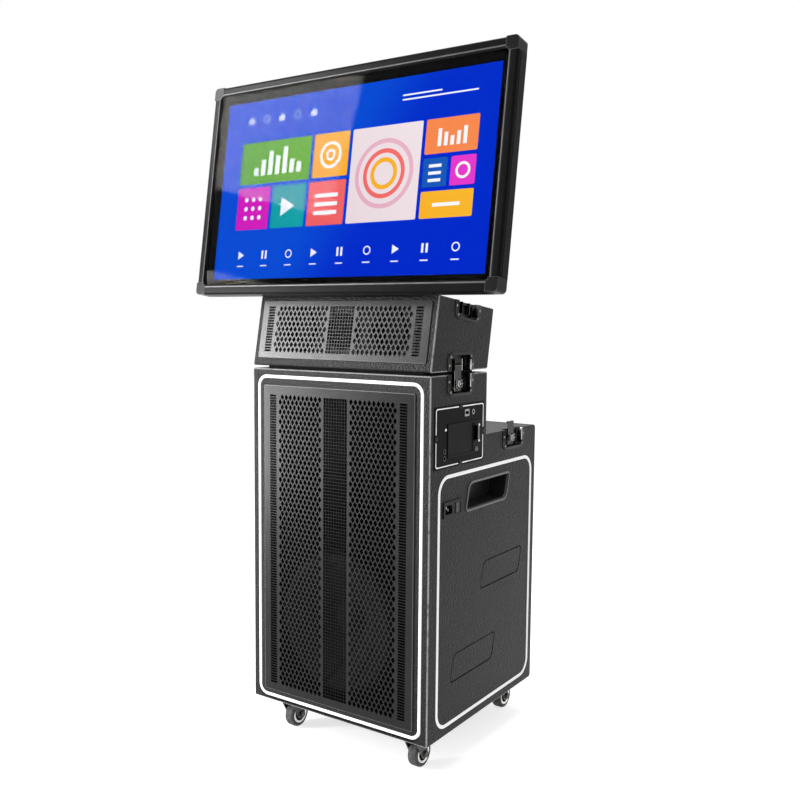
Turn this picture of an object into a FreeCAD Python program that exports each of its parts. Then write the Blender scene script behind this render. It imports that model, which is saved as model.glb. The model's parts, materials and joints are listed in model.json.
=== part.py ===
"""Mobile karaoke machine: wheeled speaker cabinet, latched upper speaker box and tilting touch screen.

Millimetres, +Z up, front towards -Y, control panel on the +X side.
The origin lies on the floor under the middle of the machine.
"""
import FreeCAD, Part
import math
import os
from FreeCAD import Placement, Rotation, Vector

# Lower cabinet: an L in side view, a tall column in front of a lower rear deck
CAB_W = 460.0
CAB_D = 460.0
COLUMN_H = 739.0
COLUMN_D = 223.0
DECK_H = 606.0
WALL = 18.0
EDGE_R = 4.0
SIDE_EDGE_R = 3.0
REAR_EDGE_R = 8.0

# Front of the cabinet
GRILLE_MARGIN_X = 30.0
GRILLE_MARGIN_LOW = 26.0
GRILLE_MARGIN_HIGH = 35.0
GRILLE_PROUD = 6.0
SHEET = 1.5
GRILLE_SEAT = 11.0
STRIP_W = 7.0
STRIP_GROOVE = 3.0
STRIP_PROUD = 1.6
FRONT_STRIP_INSET_X = 15.3
FRONT_STRIP_LOW = 5.0
FRONT_STRIP_HIGH = 13.5
FRONT_STRIP_R = 24.0

# Perforation: dash columns, diamond fields and a centre band of squares
DASH_W = 18.0
DASH_H = 7.0
DASH_GAP = 20.0
DIAMOND_W = 15.0
DIAMOND_H = 21.0
SQUARE = 9.0
BAND_HALF = 31.0
FIELD_GAP = 6.0
MAIN_DASHES = 20
MAIN_DIAMOND_COLUMNS = 5
MAIN_DIAMOND_ROWS = 17
MAIN_SQUARE_COLUMNS = 4
MAIN_SQUARE_ROWS = 26
UPPER_DASHES = 7
UPPER_DIAMOND_COLUMNS = 7
UPPER_DIAMOND_ROWS = 4
UPPER_SQUARE_COLUMNS = 5
UPPER_SQUARE_ROWS = 7

# Sides of the cabinet
SIDE_STRIP_W = 7.5
SIDE_STRIP_FRONT = 31.0
SIDE_STRIP_BACK = 19.0
SIDE_STRIP_LOW = 18.0
SIDE_STRIP_HIGH = 66.5
SIDE_STRIP_R = 38.0
LEAF_W = 190.0
LEAF_H = 56.0
LEAF_SLANT = 14.0
LEAF_R = 18.0
LEAF_SMALL_R = 6.0
POCKET_FROM_BACK = 224.0
POCKET_BELOW_DECK = 123.0
POCKET_DEPTH = 48.0
POCKET_WALL = 2.5
POCKET_RIM = 3.0
POCKET_RIM_T = 1.0
COVER_T = 5.0
COVER_GAP = 1.6
COVER_FROM_BACK = (158.0, 279.0)
COVER_ABOVE_BASE = (303.0, 134.0)

# Control panel with the disk tray on the +X side of the column
PANEL_MARGIN = 14.0
PANEL_H = 124.0
PANEL_T = 3.0
PANEL_PROUD = 1.0
PANEL_LEDGE = 6.0
PANEL_LEDGE_FRONT = 17.0
PANEL_BELOW_TOP = 123.0
TRIM_W = 2.2
TRIM_T = 0.8
TRIM_INSET = 3.5
TRIM_BREAK = 16.0
TRIM_R = 5.0
TRAY_W = 138.0
TRAY_H = 68.0
TRAY_FRONT_T = 4.5
TRAY_RIGHT = 9.0
TRAY_RAISE = -9.0
TRAY_FIELD_W = 95.0
TRAY_FIELD_H = 58.0
TRAY_FIELD_DEPTH = 1.2
TRAY_FIELD_LEFT = 4.0
TRAY_BODY_D = 150.0
TRAY_BODY_STEP = 7.0
LOCK_R = 5.0
LOCK_PROUD = 1.5
LOCK_RAISE = -26.0
HANDLE_H = 38.0
HANDLE_T = 4.0
HANDLE_REACH = 6.0
HANDLE_FROM_EDGE = 24.5
HANDLE_RAISE = 8.0
HANDLE_ROOM_W = 16.0
HANDLE_ROOM_PAST = 3.0
HANDLE_ROOM_D = 9.0
CHASSIS_D = 185.0
CHASSIS_T = 1.5
RAIL_W = 12.0
BUTTON_R = 3.0
BUTTON_PROUD = 2.0
BUTTON_DEEP = 9.0
BUTTON_FROM_LEFT = 39.0
BUTTON_RAISE = 15.0
USB_W = 18.0
USB_H = 14.5
USB_SLOT_W = 13.0
USB_SLOT_H = 6.0
SOCKET_DEPTH = 14.0
SOCKET_BACK = 3.0
SOCKET_PROUD = 0.8
JACK_R = 5.0
JACK_BORE_R = 3.2
JACK_FROM_LEFT = 37.0
JACK_RAISE = (-28.0, -42.0)
AUX_R = 5.5
USB_FROM_RIGHT = 72.0
AUX_FROM_RIGHT = 46.0
SOCKET_RAISE = 43.0

# Mains inlet with rocker switch
INLET_W = 71.0
INLET_H = 33.0
INLET_T = 2.0
INLET_LEDGE = 3.0
INLET_DEPTH = 30.0
INLET_FRONT = 51.0
INLET_BELOW_DECK = 137.0
SOCKET_W = 26.0
SOCKET_H = 18.0
SOCKET_CUT = 5.0
MAINS_DEPTH = 20.0
MAINS_LEFT = 6.0
BLADE_L = 14.0
BLADE_W = 2.0
BLADE_H = 5.0
BLADE_PITCH = 7.0
ROCKER_R = 11.5
ROCKER_H = 21.0
ROCKER_DEEP = 6.0
ROCKER_RISE = 5.0
ROCKER_SLOPE = 2.0
ROCKER_TILT = 7.0
ROCKER_RIGHT = 17.0
ROCKER_PIVOT_W = -4.0

# Butterfly latches
LATCH_W = 104.0
KEEPER_H = 38.0
LATCH_R = 18.0
LATCH_FLANGE_T = 1.2
WELL_W = 76.0
WELL_BORDER = 6.0
WELL_R = 10.0
WELL_DEPTH = 12.0
WELL_FLOOR = 1.2
SPINDLE_R = 4.0
WING_R = 16.0
WING_FROM_SEAM = 4.0
WING_ROOM = 2.0
WING_CORNER_R = 3.0
WING_TIP = 10.0
WING_WAIST = 5.0
WING_T = 2.5
WING_BOSS_R = 7.0
WING_BOSS_RISE = 1.0
WING_SUNK = 2.0
HOOK_W = 26.0
HOOK_T = 2.0
HOOK_BACK = 8.4
HOOK_END = 2.6
HOOK_HIGH = 17.0
CLAW_H = 4.0
CLAW_REACH = 3.0
RIDGE_H = 5.0
KEEPER_RIB_T = 1.6
KEEPER_RIB_H = 24.0
KEEPER_RIB_SUNK = 5.0
HOOK_STROKE = 8.0
TOP_KEEPER_BACK = 112.0
DECK_LATCH_FROM_BACK = 112.0

# Upper speaker box: its faces lean back and its top falls to the rear
SEAM = 6.0
SEAL_INSET = 20.0
SEAL_W = 14.0
UPPER_LEAN = 10.6
UPPER_FRONT_H = 150.0
UPPER_REAR_H = 126.0
UPPER_WALL = 16.0
UPPER_RECESS = 6.0
UPPER_GRILLE_MARGIN_X = 15.0
UPPER_GRILLE_LOW = 17.0
UPPER_GRILLE_HIGH = 11.0
UPPER_GRILLE_PROUD = 4.0
MID_R = 48.0
MID_X = 115.0
MID_DEPTH = 62.0
MID_MAGNET_R = 34.0
MID_FLANGE_T = 3.0
MID_LEDGE = 6.0
MID_ROLL = 12.0
MID_ROLL_H = 5.0
MID_CONE_D = 16.0
MID_DOME = 5.0
TWEETER_R = 38.0
TWEETER_DEPTH = 40.0

# Touch screen
MONITOR_LEAD = 22.5
MONITOR_GAP = 3.5
MONITOR_TILT = 8.3
MONITOR_W = 764.0
MONITOR_H = 468.0
MONITOR_T = 34.0
BEZEL = 22.0
BEZEL_BEVEL = 4.0
BEZEL_LIP = 3.0
BEZEL_GROOVE = 2.0
BEZEL_GROOVE_W = 9.0
BEZEL_WALL = 5.0
CORNER = 27.0
CORNER_R = 9.0
CORNER_PROUD = 0.8
GLASS_T = 4.0
LCD_T = 14.0
LCD_MARGIN = 8.0
BACK_SHEET = 2.0
PAN_W = 560.0
PAN_H = 300.0
PAN_D = 24.0
PAN_SLOTS = 9
PAN_SLOT_W = 4.0
PAN_SLOT_H = 90.0
PAN_SLOT_PITCH = 12.0
PAN_SLOT_INSET = 24.0
TILT_PLATE = 240.0
TILT_PLATE_T = 3.0
PIVOT_BACK = 24.0
PIVOT_R = 5.0
EAR_R = 13.0
EAR_T = 3.0

# Stand that carries the screen on the upper box
POST_W = 120.0
POST_T = 4.0
POST_FRONT = 15.0
POST_BACK = 30.0
POST_OVER = 15.0
FOOT_W = 200.0
FOOT_D = 110.0
FOOT_T = 4.0

# Casters
CASTER_INSET_X = 63.0
CASTER_INSET_Y = 49.0
CASTER_TRAIL = 22.0
WHEEL_R = 29.0
WHEEL_W = 24.0
WHEEL_HEADROOM = 8.2
TYRE_T = 8.0
TYRE_CROWN = 3.0
AXLE_R = 4.0
AXLE_NUT_R = 6.8
HUB_BOSS_R = 8.8
RIM_T = 3.0
CASTER_PLATE = 62.0
CASTER_PLATE_T = 3.0
RACE_R = 22.0
RACE_H = 6.0
KINGPIN_R = 5.0
KINGPIN_HEAD_R = 9.0
KINGPIN_HEAD_H = 4.0
CROWN_T = 4.5
LEG_T = 2.5
LEG_END_R = 9.0
LEG_TOP_HALF = 17.0
BOLT_R = 4.0
BOLT_H = 3.0
BOLT_INSET = 9.0

# Speakers and electronics inside
BAFFLE_T = 12.0
WOOFER_R = 155.0
WOOFER_CUT_R = 142.0
WOOFER_FLANGE_T = 6.0
WOOFER_DEPTH = 85.0
WOOFER_BACK_R = 78.0
WOOFER_WALL = 4.0
WOOFER_ABOVE_BASE = 208.0
WINDOWS = 6
WINDOW_W = 55.0
MAGNET_R = 70.0
MAGNET_H = 38.0
CONE_T = 2.0
CONE_NECK_R = 40.0
CONE_RIM = 10.0
CONE_D = 44.0
CONE_ROLL = 24.0
CONE_ROLL_H = 9.0
CONE_DOME = 16.0
HORN_W = 300.0
HORN_H = 150.0
HORN_FLANGE = 12.0
HORN_FLANGE_T = 5.0
HORN_DEPTH = 105.0
HORN_THROAT = 60.0
HORN_WALL = 3.0
HORN_ABOVE_BASE = 470.0
HORN_DRIVER_R = 45.0
HORN_DRIVER_D = 45.0
AMP_W = 250.0
AMP_D = 150.0
AMP_H = 60.0
AMP_X = -70.0
FIN_H = 35.0
FIN_T = 4.0
FINS = 9
TOROID_R = 60.0
TOROID_HOLE_R = 20.0
TOROID_H = 52.0
TOROID_X = 135.0
TOROID_PLATE_T = 3.0

# Rear access panel
REAR_PANEL_T = 8.0
REAR_MARGIN = 34.0
REAR_LEDGE = 12.0
SCREW_R = 4.0
SCREW_H = 2.0
VENT_W = 110.0
VENT_H = 6.0
VENT_PITCH = 15.0
VENT_ROWS = 8
VENT_X = 80.0
VENT_BELOW_DECK = 90.0

# Clearances
FIT = 0.4
LOOSE = 1.0
RUN = 0.05
HUB_GAP = 0.3

# Levels and planes worked out from the sizes above
CASTER_H = 2 * WHEEL_R + WHEEL_HEADROOM + CROWN_T + HUB_GAP + RACE_H + CASTER_PLATE_T
SPINDLE_DROP = WING_R + WING_FROM_SEAM
DISH_H = SPINDLE_DROP + WING_R + WING_ROOM + WELL_BORDER
HOOK_LOW = SPINDLE_DROP + SPINDLE_R + FIT + HOOK_STROKE + HOOK_END
SIDE_X = CAB_W / 2
FRONT_Y = -(CAB_D - MONITOR_LEAD) / 2
BACK_Y = FRONT_Y + CAB_D
COLUMN_BACK_Y = FRONT_Y + COLUMN_D
BASE_Z = CASTER_H
DECK_Z = BASE_Z + DECK_H
COLUMN_TOP_Z = BASE_Z + COLUMN_H
UPPER_Z = COLUMN_TOP_Z + SEAM
LEAN = math.radians(UPPER_LEAN)
UPPER_FRONT_TOP = (FRONT_Y + UPPER_FRONT_H * math.tan(LEAN), UPPER_Z + UPPER_FRONT_H)
UPPER_REAR_TOP = (COLUMN_BACK_Y + UPPER_REAR_H * math.tan(LEAN), UPPER_Z + UPPER_REAR_H)
UPPER_SLOPE_H = UPPER_FRONT_H / math.cos(LEAN)

X = Vector(1, 0, 0)
Y = Vector(0, 1, 0)
Z = Vector(0, 0, 1)


def facing(origin, across, up):
    """Local frame of a face: u runs across, v runs up and w points out of it."""
    return Placement(origin, Rotation(across, up, across.cross(up), "XYZ"))


TOP_RUN = Vector(0, UPPER_REAR_TOP[0] - UPPER_FRONT_TOP[0], UPPER_REAR_TOP[1] - UPPER_FRONT_TOP[1])
TOP_BACK = Vector(TOP_RUN).normalize()
TOP_UP = X.cross(TOP_BACK)
LEAN_UP = Vector(0, math.sin(LEAN), math.cos(LEAN))
TILT = math.radians(MONITOR_TILT)
TILT_UP = Vector(0, math.sin(TILT), math.cos(TILT))

FRONT = facing(Vector(0, FRONT_Y, BASE_Z), X, Z)
RIGHT = facing(Vector(SIDE_X, FRONT_Y, BASE_Z), Y, Z)
REAR = facing(Vector(0, BACK_Y, BASE_Z), -X, Z)
UPPER_FRONT = facing(Vector(0, FRONT_Y, UPPER_Z), X, LEAN_UP)
UPPER_TOP = facing(Vector(0, *UPPER_FRONT_TOP), X, TOP_BACK)
SCREEN_FOOT = Vector(0, FRONT_Y - MONITOR_LEAD, UPPER_FRONT_TOP[1] + MONITOR_GAP)
SCREEN = facing(SCREEN_FOOT, X, TILT_UP)
PIVOT_W = -(MONITOR_T + BACK_SHEET + PAN_D + TILT_PLATE_T + PIVOT_BACK)
PIVOT = SCREEN.multVec(Vector(0, MONITOR_H / 2, PIVOT_W))

JOIN_LATCH = facing(Vector(SIDE_X, FRONT_Y + COLUMN_D / 2, COLUMN_TOP_Z), Y, Z)
TOP_KEEPER_AT = Vector(SIDE_X, *UPPER_FRONT_TOP) + TOP_BACK * TOP_KEEPER_BACK
TOP_KEEPER = facing(TOP_KEEPER_AT, TOP_BACK, TOP_UP)
DECK_LATCH = facing(Vector(SIDE_X, BACK_Y - DECK_LATCH_FROM_BACK, DECK_Z), Y, Z)
LATCHES = {"join": JOIN_LATCH, "deck": DECK_LATCH}

CASTER_X = SIDE_X - CASTER_INSET_X
CASTERS = {
    "front_left": (-CASTER_X, FRONT_Y + CASTER_INSET_Y),
    "front_right": (CASTER_X, FRONT_Y + CASTER_INSET_Y),
    "rear_left": (-CASTER_X, BACK_Y - CASTER_INSET_Y),
    "rear_right": (CASTER_X, BACK_Y - CASTER_INSET_Y),
}


def outline(corners, radius):
    """Closed wire through the corners, each one rounded by its radius."""
    count = len(corners)
    radii = radius if isinstance(radius, (list, tuple)) else [radius] * count
    points = [Vector(u, v, 0) for u, v in corners]
    edges = []
    stops = []
    for i in range(count):
        here = points[i]
        back = (points[i - 1] - here).normalize()
        ahead = (points[(i + 1) % count] - here).normalize()
        if radii[i] <= 0:
            stops.append((here, here))
            continue
        half = back.getAngle(ahead) / 2
        bisector = (back + ahead).normalize()
        reach = radii[i] / math.tan(half)
        middle = here + bisector * (radii[i] / math.sin(half) - radii[i])
        start = here + back * reach
        end = here + ahead * reach
        edges.append(Part.Arc(start, middle, end).toShape())
        stops.append((start, end))
    for i in range(count):
        start = stops[i][1]
        end = stops[(i + 1) % count][0]
        if (end - start).Length > 1e-6:
            edges.append(Part.LineSegment(start, end).toShape())
    return Part.Wire(Part.__sortEdges__(edges))


def rectangle(u0, u1, v0, v1, radius=0):
    return outline([(u0, v0), (u1, v0), (u1, v1), (u0, v1)], radius)


def slab(wire, low, high):
    """Plate with the wire's outline, from w = low to w = high."""
    face = Part.Face(wire)
    face.translate(Vector(0, 0, low))
    return face.extrude(Vector(0, 0, high - low))


def block(u0, u1, v0, v1, low, high):
    return Part.makeBox(u1 - u0, v1 - v0, high - low, Vector(u0, v0, low))


def rod(u, v, radius, low, high):
    return Part.makeCylinder(radius, high - low, Vector(u, v, low))


def turned(points):
    """Solid of revolution about w through points (radius, w)."""
    corners = [Vector(r, 0, w) for r, w in points]
    face = Part.Face(Part.makePolygon(corners + corners[:1]))
    return face.revolve(Vector(), Z, 360)


def profile_x(points, x0, x1, radius=0):
    """Solid with the outline (y, z) extruded along X."""
    shape = slab(outline(points, radius), x0, x1)
    return at(Placement(Vector(), Rotation(Y, Z, X, "XYZ")), shape)


def at(frame, shape):
    """The shape, moved from a local frame into the machine's frame."""
    moved = shape.copy()
    moved.Placement = frame.multiply(moved.Placement)
    return moved


def shifted(shape, u, v, w=0):
    moved = shape.copy()
    moved.translate(Vector(u, v, w))
    return moved


def mirrored(shape):
    """The same piece on the -X side."""
    return shape.mirror(Vector(), X)


def joined(first, *others):
    return first.fuse(list(others)).removeSplitter()


def group(shapes):
    return Part.makeCompound(shapes)


def ring(outer, inner, low, high):
    return slab(outer, low, high).cut(slab(inner, low - 1, high + 1))


def leaf(grow=0.0):
    """Slanted panel outline, centred, with two large and two small corner radii."""
    half_w = LEAF_W / 2 + grow
    half_h = LEAF_H / 2 + grow
    low_right = half_w - LEAF_SLANT
    corners = [(-half_w, -half_h), (low_right, -half_h), (half_w, half_h), (-low_right, half_h)]
    small = LEAF_SMALL_R + grow
    large = LEAF_R + grow
    return outline(corners, [small, large, small, large])


def latch_outline(height, grow=0.0):
    """Half of the latch plate: square at the seam and round at the far corners."""
    half = LATCH_W / 2 + grow
    low = -height - grow
    return outline([(-half, low), (half, low), (half, -FIT), (-half, -FIT)], [LATCH_R, LATCH_R, 0, 0])


def well_outline(height, grow=0.0, over=0.0):
    """Recess of the latch plate, open towards the seam."""
    half = WELL_W / 2 + grow
    low = -height + WELL_BORDER - grow
    return outline([(-half, low), (half, low), (half, over), (-half, over)], [WELL_R, WELL_R, 0, 0])


def latch_pocket(height):
    """Cut in a wall for the well of a latch plate, open past the wall's edge."""
    return slab(well_outline(height, WELL_FLOOR + FIT, EDGE_R + SEAM), -WELL_DEPTH - WELL_FLOOR - FIT, EDGE_R)


def latch_plate(height):
    """Pressed plate with its recessed well."""
    flange = slab(latch_outline(height), 0, LATCH_FLANGE_T)
    cup = slab(well_outline(height, WELL_FLOOR, -FIT), -WELL_DEPTH - WELL_FLOOR, LATCH_FLANGE_T)
    hollow = slab(well_outline(height, 0, EDGE_R), -WELL_DEPTH, EDGE_R)
    return joined(flange, cup).cut(hollow)


def upside_down(shape):
    """A latch half turned over, so that it hangs above the seam instead of below it."""
    return at(Placement(Vector(0, SEAM, 0), Rotation(Z, 180)), shape)


def on_both_sides(shapes):
    return list(shapes) + [mirrored(shape) for shape in shapes]


def panel_frame():
    """Local frame at the control panel's centre, w = 0 on the cabinet's side."""
    centre = Vector(COLUMN_D / 2, COLUMN_H - PANEL_BELOW_TOP, 0)
    return RIGHT.multiply(Placement(centre, Rotation()))


PANEL = panel_frame()
PANEL_W = COLUMN_D - 2 * PANEL_MARGIN
PANEL_BACK = PANEL_PROUD - PANEL_T
TRAY_U = PANEL_W / 2 - TRAY_RIGHT - TRAY_W / 2
USB_U = PANEL_W / 2 - USB_FROM_RIGHT
AUX_U = PANEL_W / 2 - AUX_FROM_RIGHT
JACK_U = JACK_FROM_LEFT - PANEL_W / 2
BUTTON_U = BUTTON_FROM_LEFT - PANEL_W / 2

POCKET_AT = Vector(CAB_D - POCKET_FROM_BACK, DECK_H - POCKET_BELOW_DECK, 0)
POCKET = RIGHT.multiply(Placement(POCKET_AT, Rotation()))
INLET_AT = Vector(INLET_FRONT + INLET_W / 2, DECK_H - INLET_BELOW_DECK, 0)
INLET = RIGHT.multiply(Placement(INLET_AT, Rotation()))
ROCKER_U = INLET_W / 2 - ROCKER_RIGHT
COVERS = [
    RIGHT.multiply(Placement(Vector(CAB_D - back, up, 0), Rotation()))
    for back, up in zip(COVER_FROM_BACK, COVER_ABOVE_BASE)
]

GRILLE_HALF = SIDE_X - GRILLE_MARGIN_X
GRILLE_TOP = COLUMN_H - GRILLE_MARGIN_HIGH
UPPER_GRILLE_HALF = SIDE_X - UPPER_GRILLE_MARGIN_X
UPPER_GRILLE_TOP = UPPER_SLOPE_H - UPPER_GRILLE_HIGH
DRIVER_V = (UPPER_GRILLE_LOW + UPPER_GRILLE_TOP) / 2


def front_strip_rings():
    """Outer and inner outline of the light strip on the front."""
    half = SIDE_X - FRONT_STRIP_INSET_X
    top = COLUMN_H - FRONT_STRIP_HIGH
    outer = rectangle(-half, half, FRONT_STRIP_LOW, top, FRONT_STRIP_R)
    inner_half = half - STRIP_W
    inner = rectangle(
        -inner_half, inner_half, FRONT_STRIP_LOW + STRIP_W, top - STRIP_W, FRONT_STRIP_R - STRIP_W
    )
    return outer, inner


def side_strip_rings():
    """Outer and inner outline of the light strip on a side."""
    back = CAB_D - SIDE_STRIP_BACK
    top = DECK_H - SIDE_STRIP_HIGH
    outer = rectangle(SIDE_STRIP_FRONT, back, SIDE_STRIP_LOW, top, SIDE_STRIP_R)
    inner = rectangle(
        SIDE_STRIP_FRONT + SIDE_STRIP_W,
        back - SIDE_STRIP_W,
        SIDE_STRIP_LOW + SIDE_STRIP_W,
        top - SIDE_STRIP_W,
        SIDE_STRIP_R - SIDE_STRIP_W,
    )
    return outer, inner


def rounded_sides(shape, half_width, radius):
    """Round the edges where the two end faces at x = +-half_width meet the other faces."""
    edges = []
    for edge in shape.Edges:
        box = edge.BoundBox
        if box.XLength < 1e-6 and abs(abs(box.XMin) - half_width) < 1e-6:
            edges.append(edge)
    return shape.makeFillet(radius, edges)


def cabinet_shell():
    """Glued carcass: walls, deck, and the board between speaker chamber and rear chamber."""
    corners = [
        (FRONT_Y, BASE_Z),
        (BACK_Y, BASE_Z),
        (BACK_Y, DECK_Z),
        (COLUMN_BACK_Y, DECK_Z),
        (COLUMN_BACK_Y, COLUMN_TOP_Z),
        (FRONT_Y, COLUMN_TOP_Z),
    ]
    radii = [EDGE_R, REAR_EDGE_R, REAR_EDGE_R, 0, EDGE_R, EDGE_R]
    body = rounded_sides(profile_x(corners, -SIDE_X, SIDE_X, radii), SIDE_X, SIDE_EDGE_R)
    inside = SIDE_X - WALL
    chamber = at(FRONT, block(-inside, inside, WALL, COLUMN_H - WALL, WALL - COLUMN_D, -WALL))
    mouth_half = GRILLE_HALF - GRILLE_SEAT
    mouth = at(
        FRONT,
        block(
            -mouth_half,
            mouth_half,
            GRILLE_MARGIN_LOW + GRILLE_SEAT,
            GRILLE_TOP - GRILLE_SEAT,
            -WALL - 1,
            EDGE_R,
        ),
    )
    rear_chamber = at(REAR, block(-inside, inside, WALL, DECK_H - WALL, COLUMN_D - CAB_D, -WALL))
    rear_half = SIDE_X - REAR_MARGIN
    rear_rebate = at(
        REAR, block(-rear_half, rear_half, REAR_MARGIN, DECK_H - REAR_MARGIN, -REAR_PANEL_T - SCREW_H, EDGE_R)
    )
    hatch_half = rear_half - REAR_LEDGE
    low = REAR_MARGIN + REAR_LEDGE
    hatch = at(REAR, block(-hatch_half, hatch_half, low, DECK_H - low, -WALL - 1, EDGE_R))
    cuts = [chamber, mouth, rear_chamber, rear_rebate, hatch]
    cuts.append(at(FRONT, ring(*front_strip_rings(), -STRIP_GROOVE, EDGE_R)))
    side_groove = at(RIGHT, ring(*side_strip_rings(), -STRIP_GROOVE, EDGE_R))
    handle_cut = at(POCKET, slab(leaf(FIT), -POCKET_DEPTH - FIT, EDGE_R))
    dishes = [at(frame, latch_pocket(DISH_H)) for frame in LATCHES.values()]
    cuts += on_both_sides([side_groove, handle_cut] + dishes)
    cuts.append(at(PANEL, rectangle_cut(PANEL_W + 2 * FIT, PANEL_H + 2 * FIT, PANEL_BACK)))
    cuts.append(at(PANEL, block(*chassis_sides(0), -WALL - 1, EDGE_R)))
    cuts.append(at(INLET, rectangle_cut(INLET_W - 2 * INLET_LEDGE, INLET_H - 2 * INLET_LEDGE, -WALL - 1)))
    cuts += [at(frame, slab(leaf(COVER_GAP), -COVER_T, EDGE_R)) for frame in COVERS]
    return body.cut(cuts)


def chassis_sides(gap):
    """Extent (u0, u1, v0, v1) of the opening behind the control panel, drawn in by a gap."""
    half_h = PANEL_H / 2 - PANEL_LEDGE - gap
    return PANEL_LEDGE_FRONT + gap - PANEL_W / 2, PANEL_W / 2 - PANEL_LEDGE - gap, -half_h, half_h


def rectangle_cut(width, height, low):
    """Centred rectangular cut from w = low out past the surface."""
    return block(-width / 2, width / 2, -height / 2, height / 2, low, EDGE_R)


def perforation(left, right, low, high, counts):
    """Hole outlines of a grille: dashes at the ends, diamonds, and squares in the middle."""
    dashes, diamond_columns, diamond_rows, square_columns, square_rows = counts
    holes = []
    for row in range(dashes):
        v = low + (row + 0.5) * (high - low) / dashes
        for u in (left + DASH_W / 2, right - DASH_W / 2):
            holes.append(rectangle(u - DASH_W / 2, u + DASH_W / 2, v - DASH_H / 2, v + DASH_H / 2))
    field = right - DASH_W - FIELD_GAP - BAND_HALF - FIELD_GAP
    pitch_u = field / diamond_columns
    pitch_v = (high - low) / diamond_rows
    for row in range(2 * diamond_rows - 1):
        shift = row % 2
        for column in range(diamond_columns - shift):
            u = BAND_HALF + FIELD_GAP + (column + 0.5 + 0.5 * shift) * pitch_u
            v = low + (row + 1) * pitch_v / 2
            for side in (-u, u):
                holes.append(diamond(side, v))
    step_u = 2 * BAND_HALF / square_columns
    step_v = (high - low) / square_rows
    for row in range(square_rows):
        v = low + (row + 0.5) * step_v
        for column in range(square_columns):
            u = -BAND_HALF + (column + 0.5) * step_u
            holes.append(rectangle(u - SQUARE / 2, u + SQUARE / 2, v - SQUARE / 2, v + SQUARE / 2))
    return holes


def diamond(u, v):
    half_w = DIAMOND_W / 2
    half_h = DIAMOND_H / 2
    return outline([(u - half_w, v), (u, v - half_h), (u + half_w, v), (u, v + half_h)], 0)


def grille(half, low, high, proud, border, counts):
    """Perforated sheet with its edges folded back on to the cabinet."""
    holes = perforation(-half + border, half - border, low + border, high - border, counts)
    sheet = Part.makeFace([rectangle(-half, half, low, high)] + holes, "Part::FaceMakerBullseye")
    sheet.translate(Vector(0, 0, proud - SHEET))
    plate = sheet.extrude(Vector(0, 0, SHEET))
    fold = ring(
        rectangle(-half, half, low, high),
        rectangle(-half + SHEET, half - SHEET, low + SHEET, high - SHEET),
        0,
        proud - SHEET,
    )
    return joined(plate, fold)


def main_grille():
    counts = (
        MAIN_DASHES,
        MAIN_DIAMOND_COLUMNS,
        MAIN_DIAMOND_ROWS,
        MAIN_SQUARE_COLUMNS,
        MAIN_SQUARE_ROWS,
    )
    return at(FRONT, grille(GRILLE_HALF, GRILLE_MARGIN_LOW, GRILLE_TOP, GRILLE_PROUD, DASH_GAP, counts))


def upper_grille():
    counts = (
        UPPER_DASHES,
        UPPER_DIAMOND_COLUMNS,
        UPPER_DIAMOND_ROWS,
        UPPER_SQUARE_COLUMNS,
        UPPER_SQUARE_ROWS,
    )
    sheet = grille(
        UPPER_GRILLE_HALF, UPPER_GRILLE_LOW, UPPER_GRILLE_TOP, UPPER_GRILLE_PROUD, DASH_W, counts
    )
    return at(UPPER_FRONT, sheet)


def front_baffle():
    """Board behind the front wall that carries the woofer and the horn."""
    inside = SIDE_X - WALL
    board = block(-inside, inside, WALL, COLUMN_H - WALL, -WALL - BAFFLE_T, -WALL)
    woofer_cut = rod(0, WOOFER_ABOVE_BASE, WOOFER_CUT_R, -WALL - BAFFLE_T - 1, -WALL + 1)
    half_w = HORN_W / 2 - HORN_FLANGE
    half_h = HORN_H / 2 - HORN_FLANGE
    horn_cut = block(
        -half_w,
        half_w,
        HORN_ABOVE_BASE - half_h,
        HORN_ABOVE_BASE + half_h,
        -WALL - BAFFLE_T - 1,
        -WALL + 1,
    )
    return at(FRONT, board.cut([woofer_cut, horn_cut]))


def woofer_basket():
    """Pressed frame with windows, and the magnet seated on its back."""
    front = WOOFER_FLANGE_T
    neck = WOOFER_CUT_R - FIT
    back = -WOOFER_DEPTH
    frame = turned(
        [
            (neck - WOOFER_WALL, front),
            (WOOFER_R, front),
            (WOOFER_R, 0),
            (neck, 0),
            (neck, -BAFFLE_T),
            (WOOFER_BACK_R, back),
            (CONE_NECK_R, back),
            (CONE_NECK_R, back + WOOFER_WALL),
            (WOOFER_BACK_R - WOOFER_WALL, back + WOOFER_WALL),
            (neck - WOOFER_WALL, -BAFFLE_T),
        ]
    )
    window = block(
        WOOFER_BACK_R + WOOFER_WALL,
        WOOFER_R,
        -WINDOW_W / 2,
        WINDOW_W / 2,
        back + 2 * WOOFER_WALL,
        -BAFFLE_T - WOOFER_WALL,
    )
    for index in range(WINDOWS):
        turn = Placement(Vector(), Rotation(Z, index * 360 / WINDOWS))
        frame = frame.cut(at(turn, window))
    magnet = rod(0, 0, MAGNET_R, back - MAGNET_H, back)
    seat = Placement(Vector(0, WOOFER_ABOVE_BASE, -WALL), Rotation())
    return group([at(FRONT.multiply(seat), piece) for piece in (frame, magnet)])


def speaker_cone(rim_r, roll, roll_h, neck_r, depth, dome):
    """Surround, cone and dust cap as one thin shell with its rim on w = 0."""
    roll_in = rim_r - roll
    return turned(
        [
            (rim_r, 0),
            (rim_r, CONE_T),
            (rim_r - roll / 2, roll_h),
            (roll_in, CONE_T),
            (neck_r, -depth),
            (0, dome - depth),
            (0, dome - depth - CONE_T),
            (neck_r, -depth - CONE_T),
            (roll_in, 0),
        ]
    )


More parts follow.
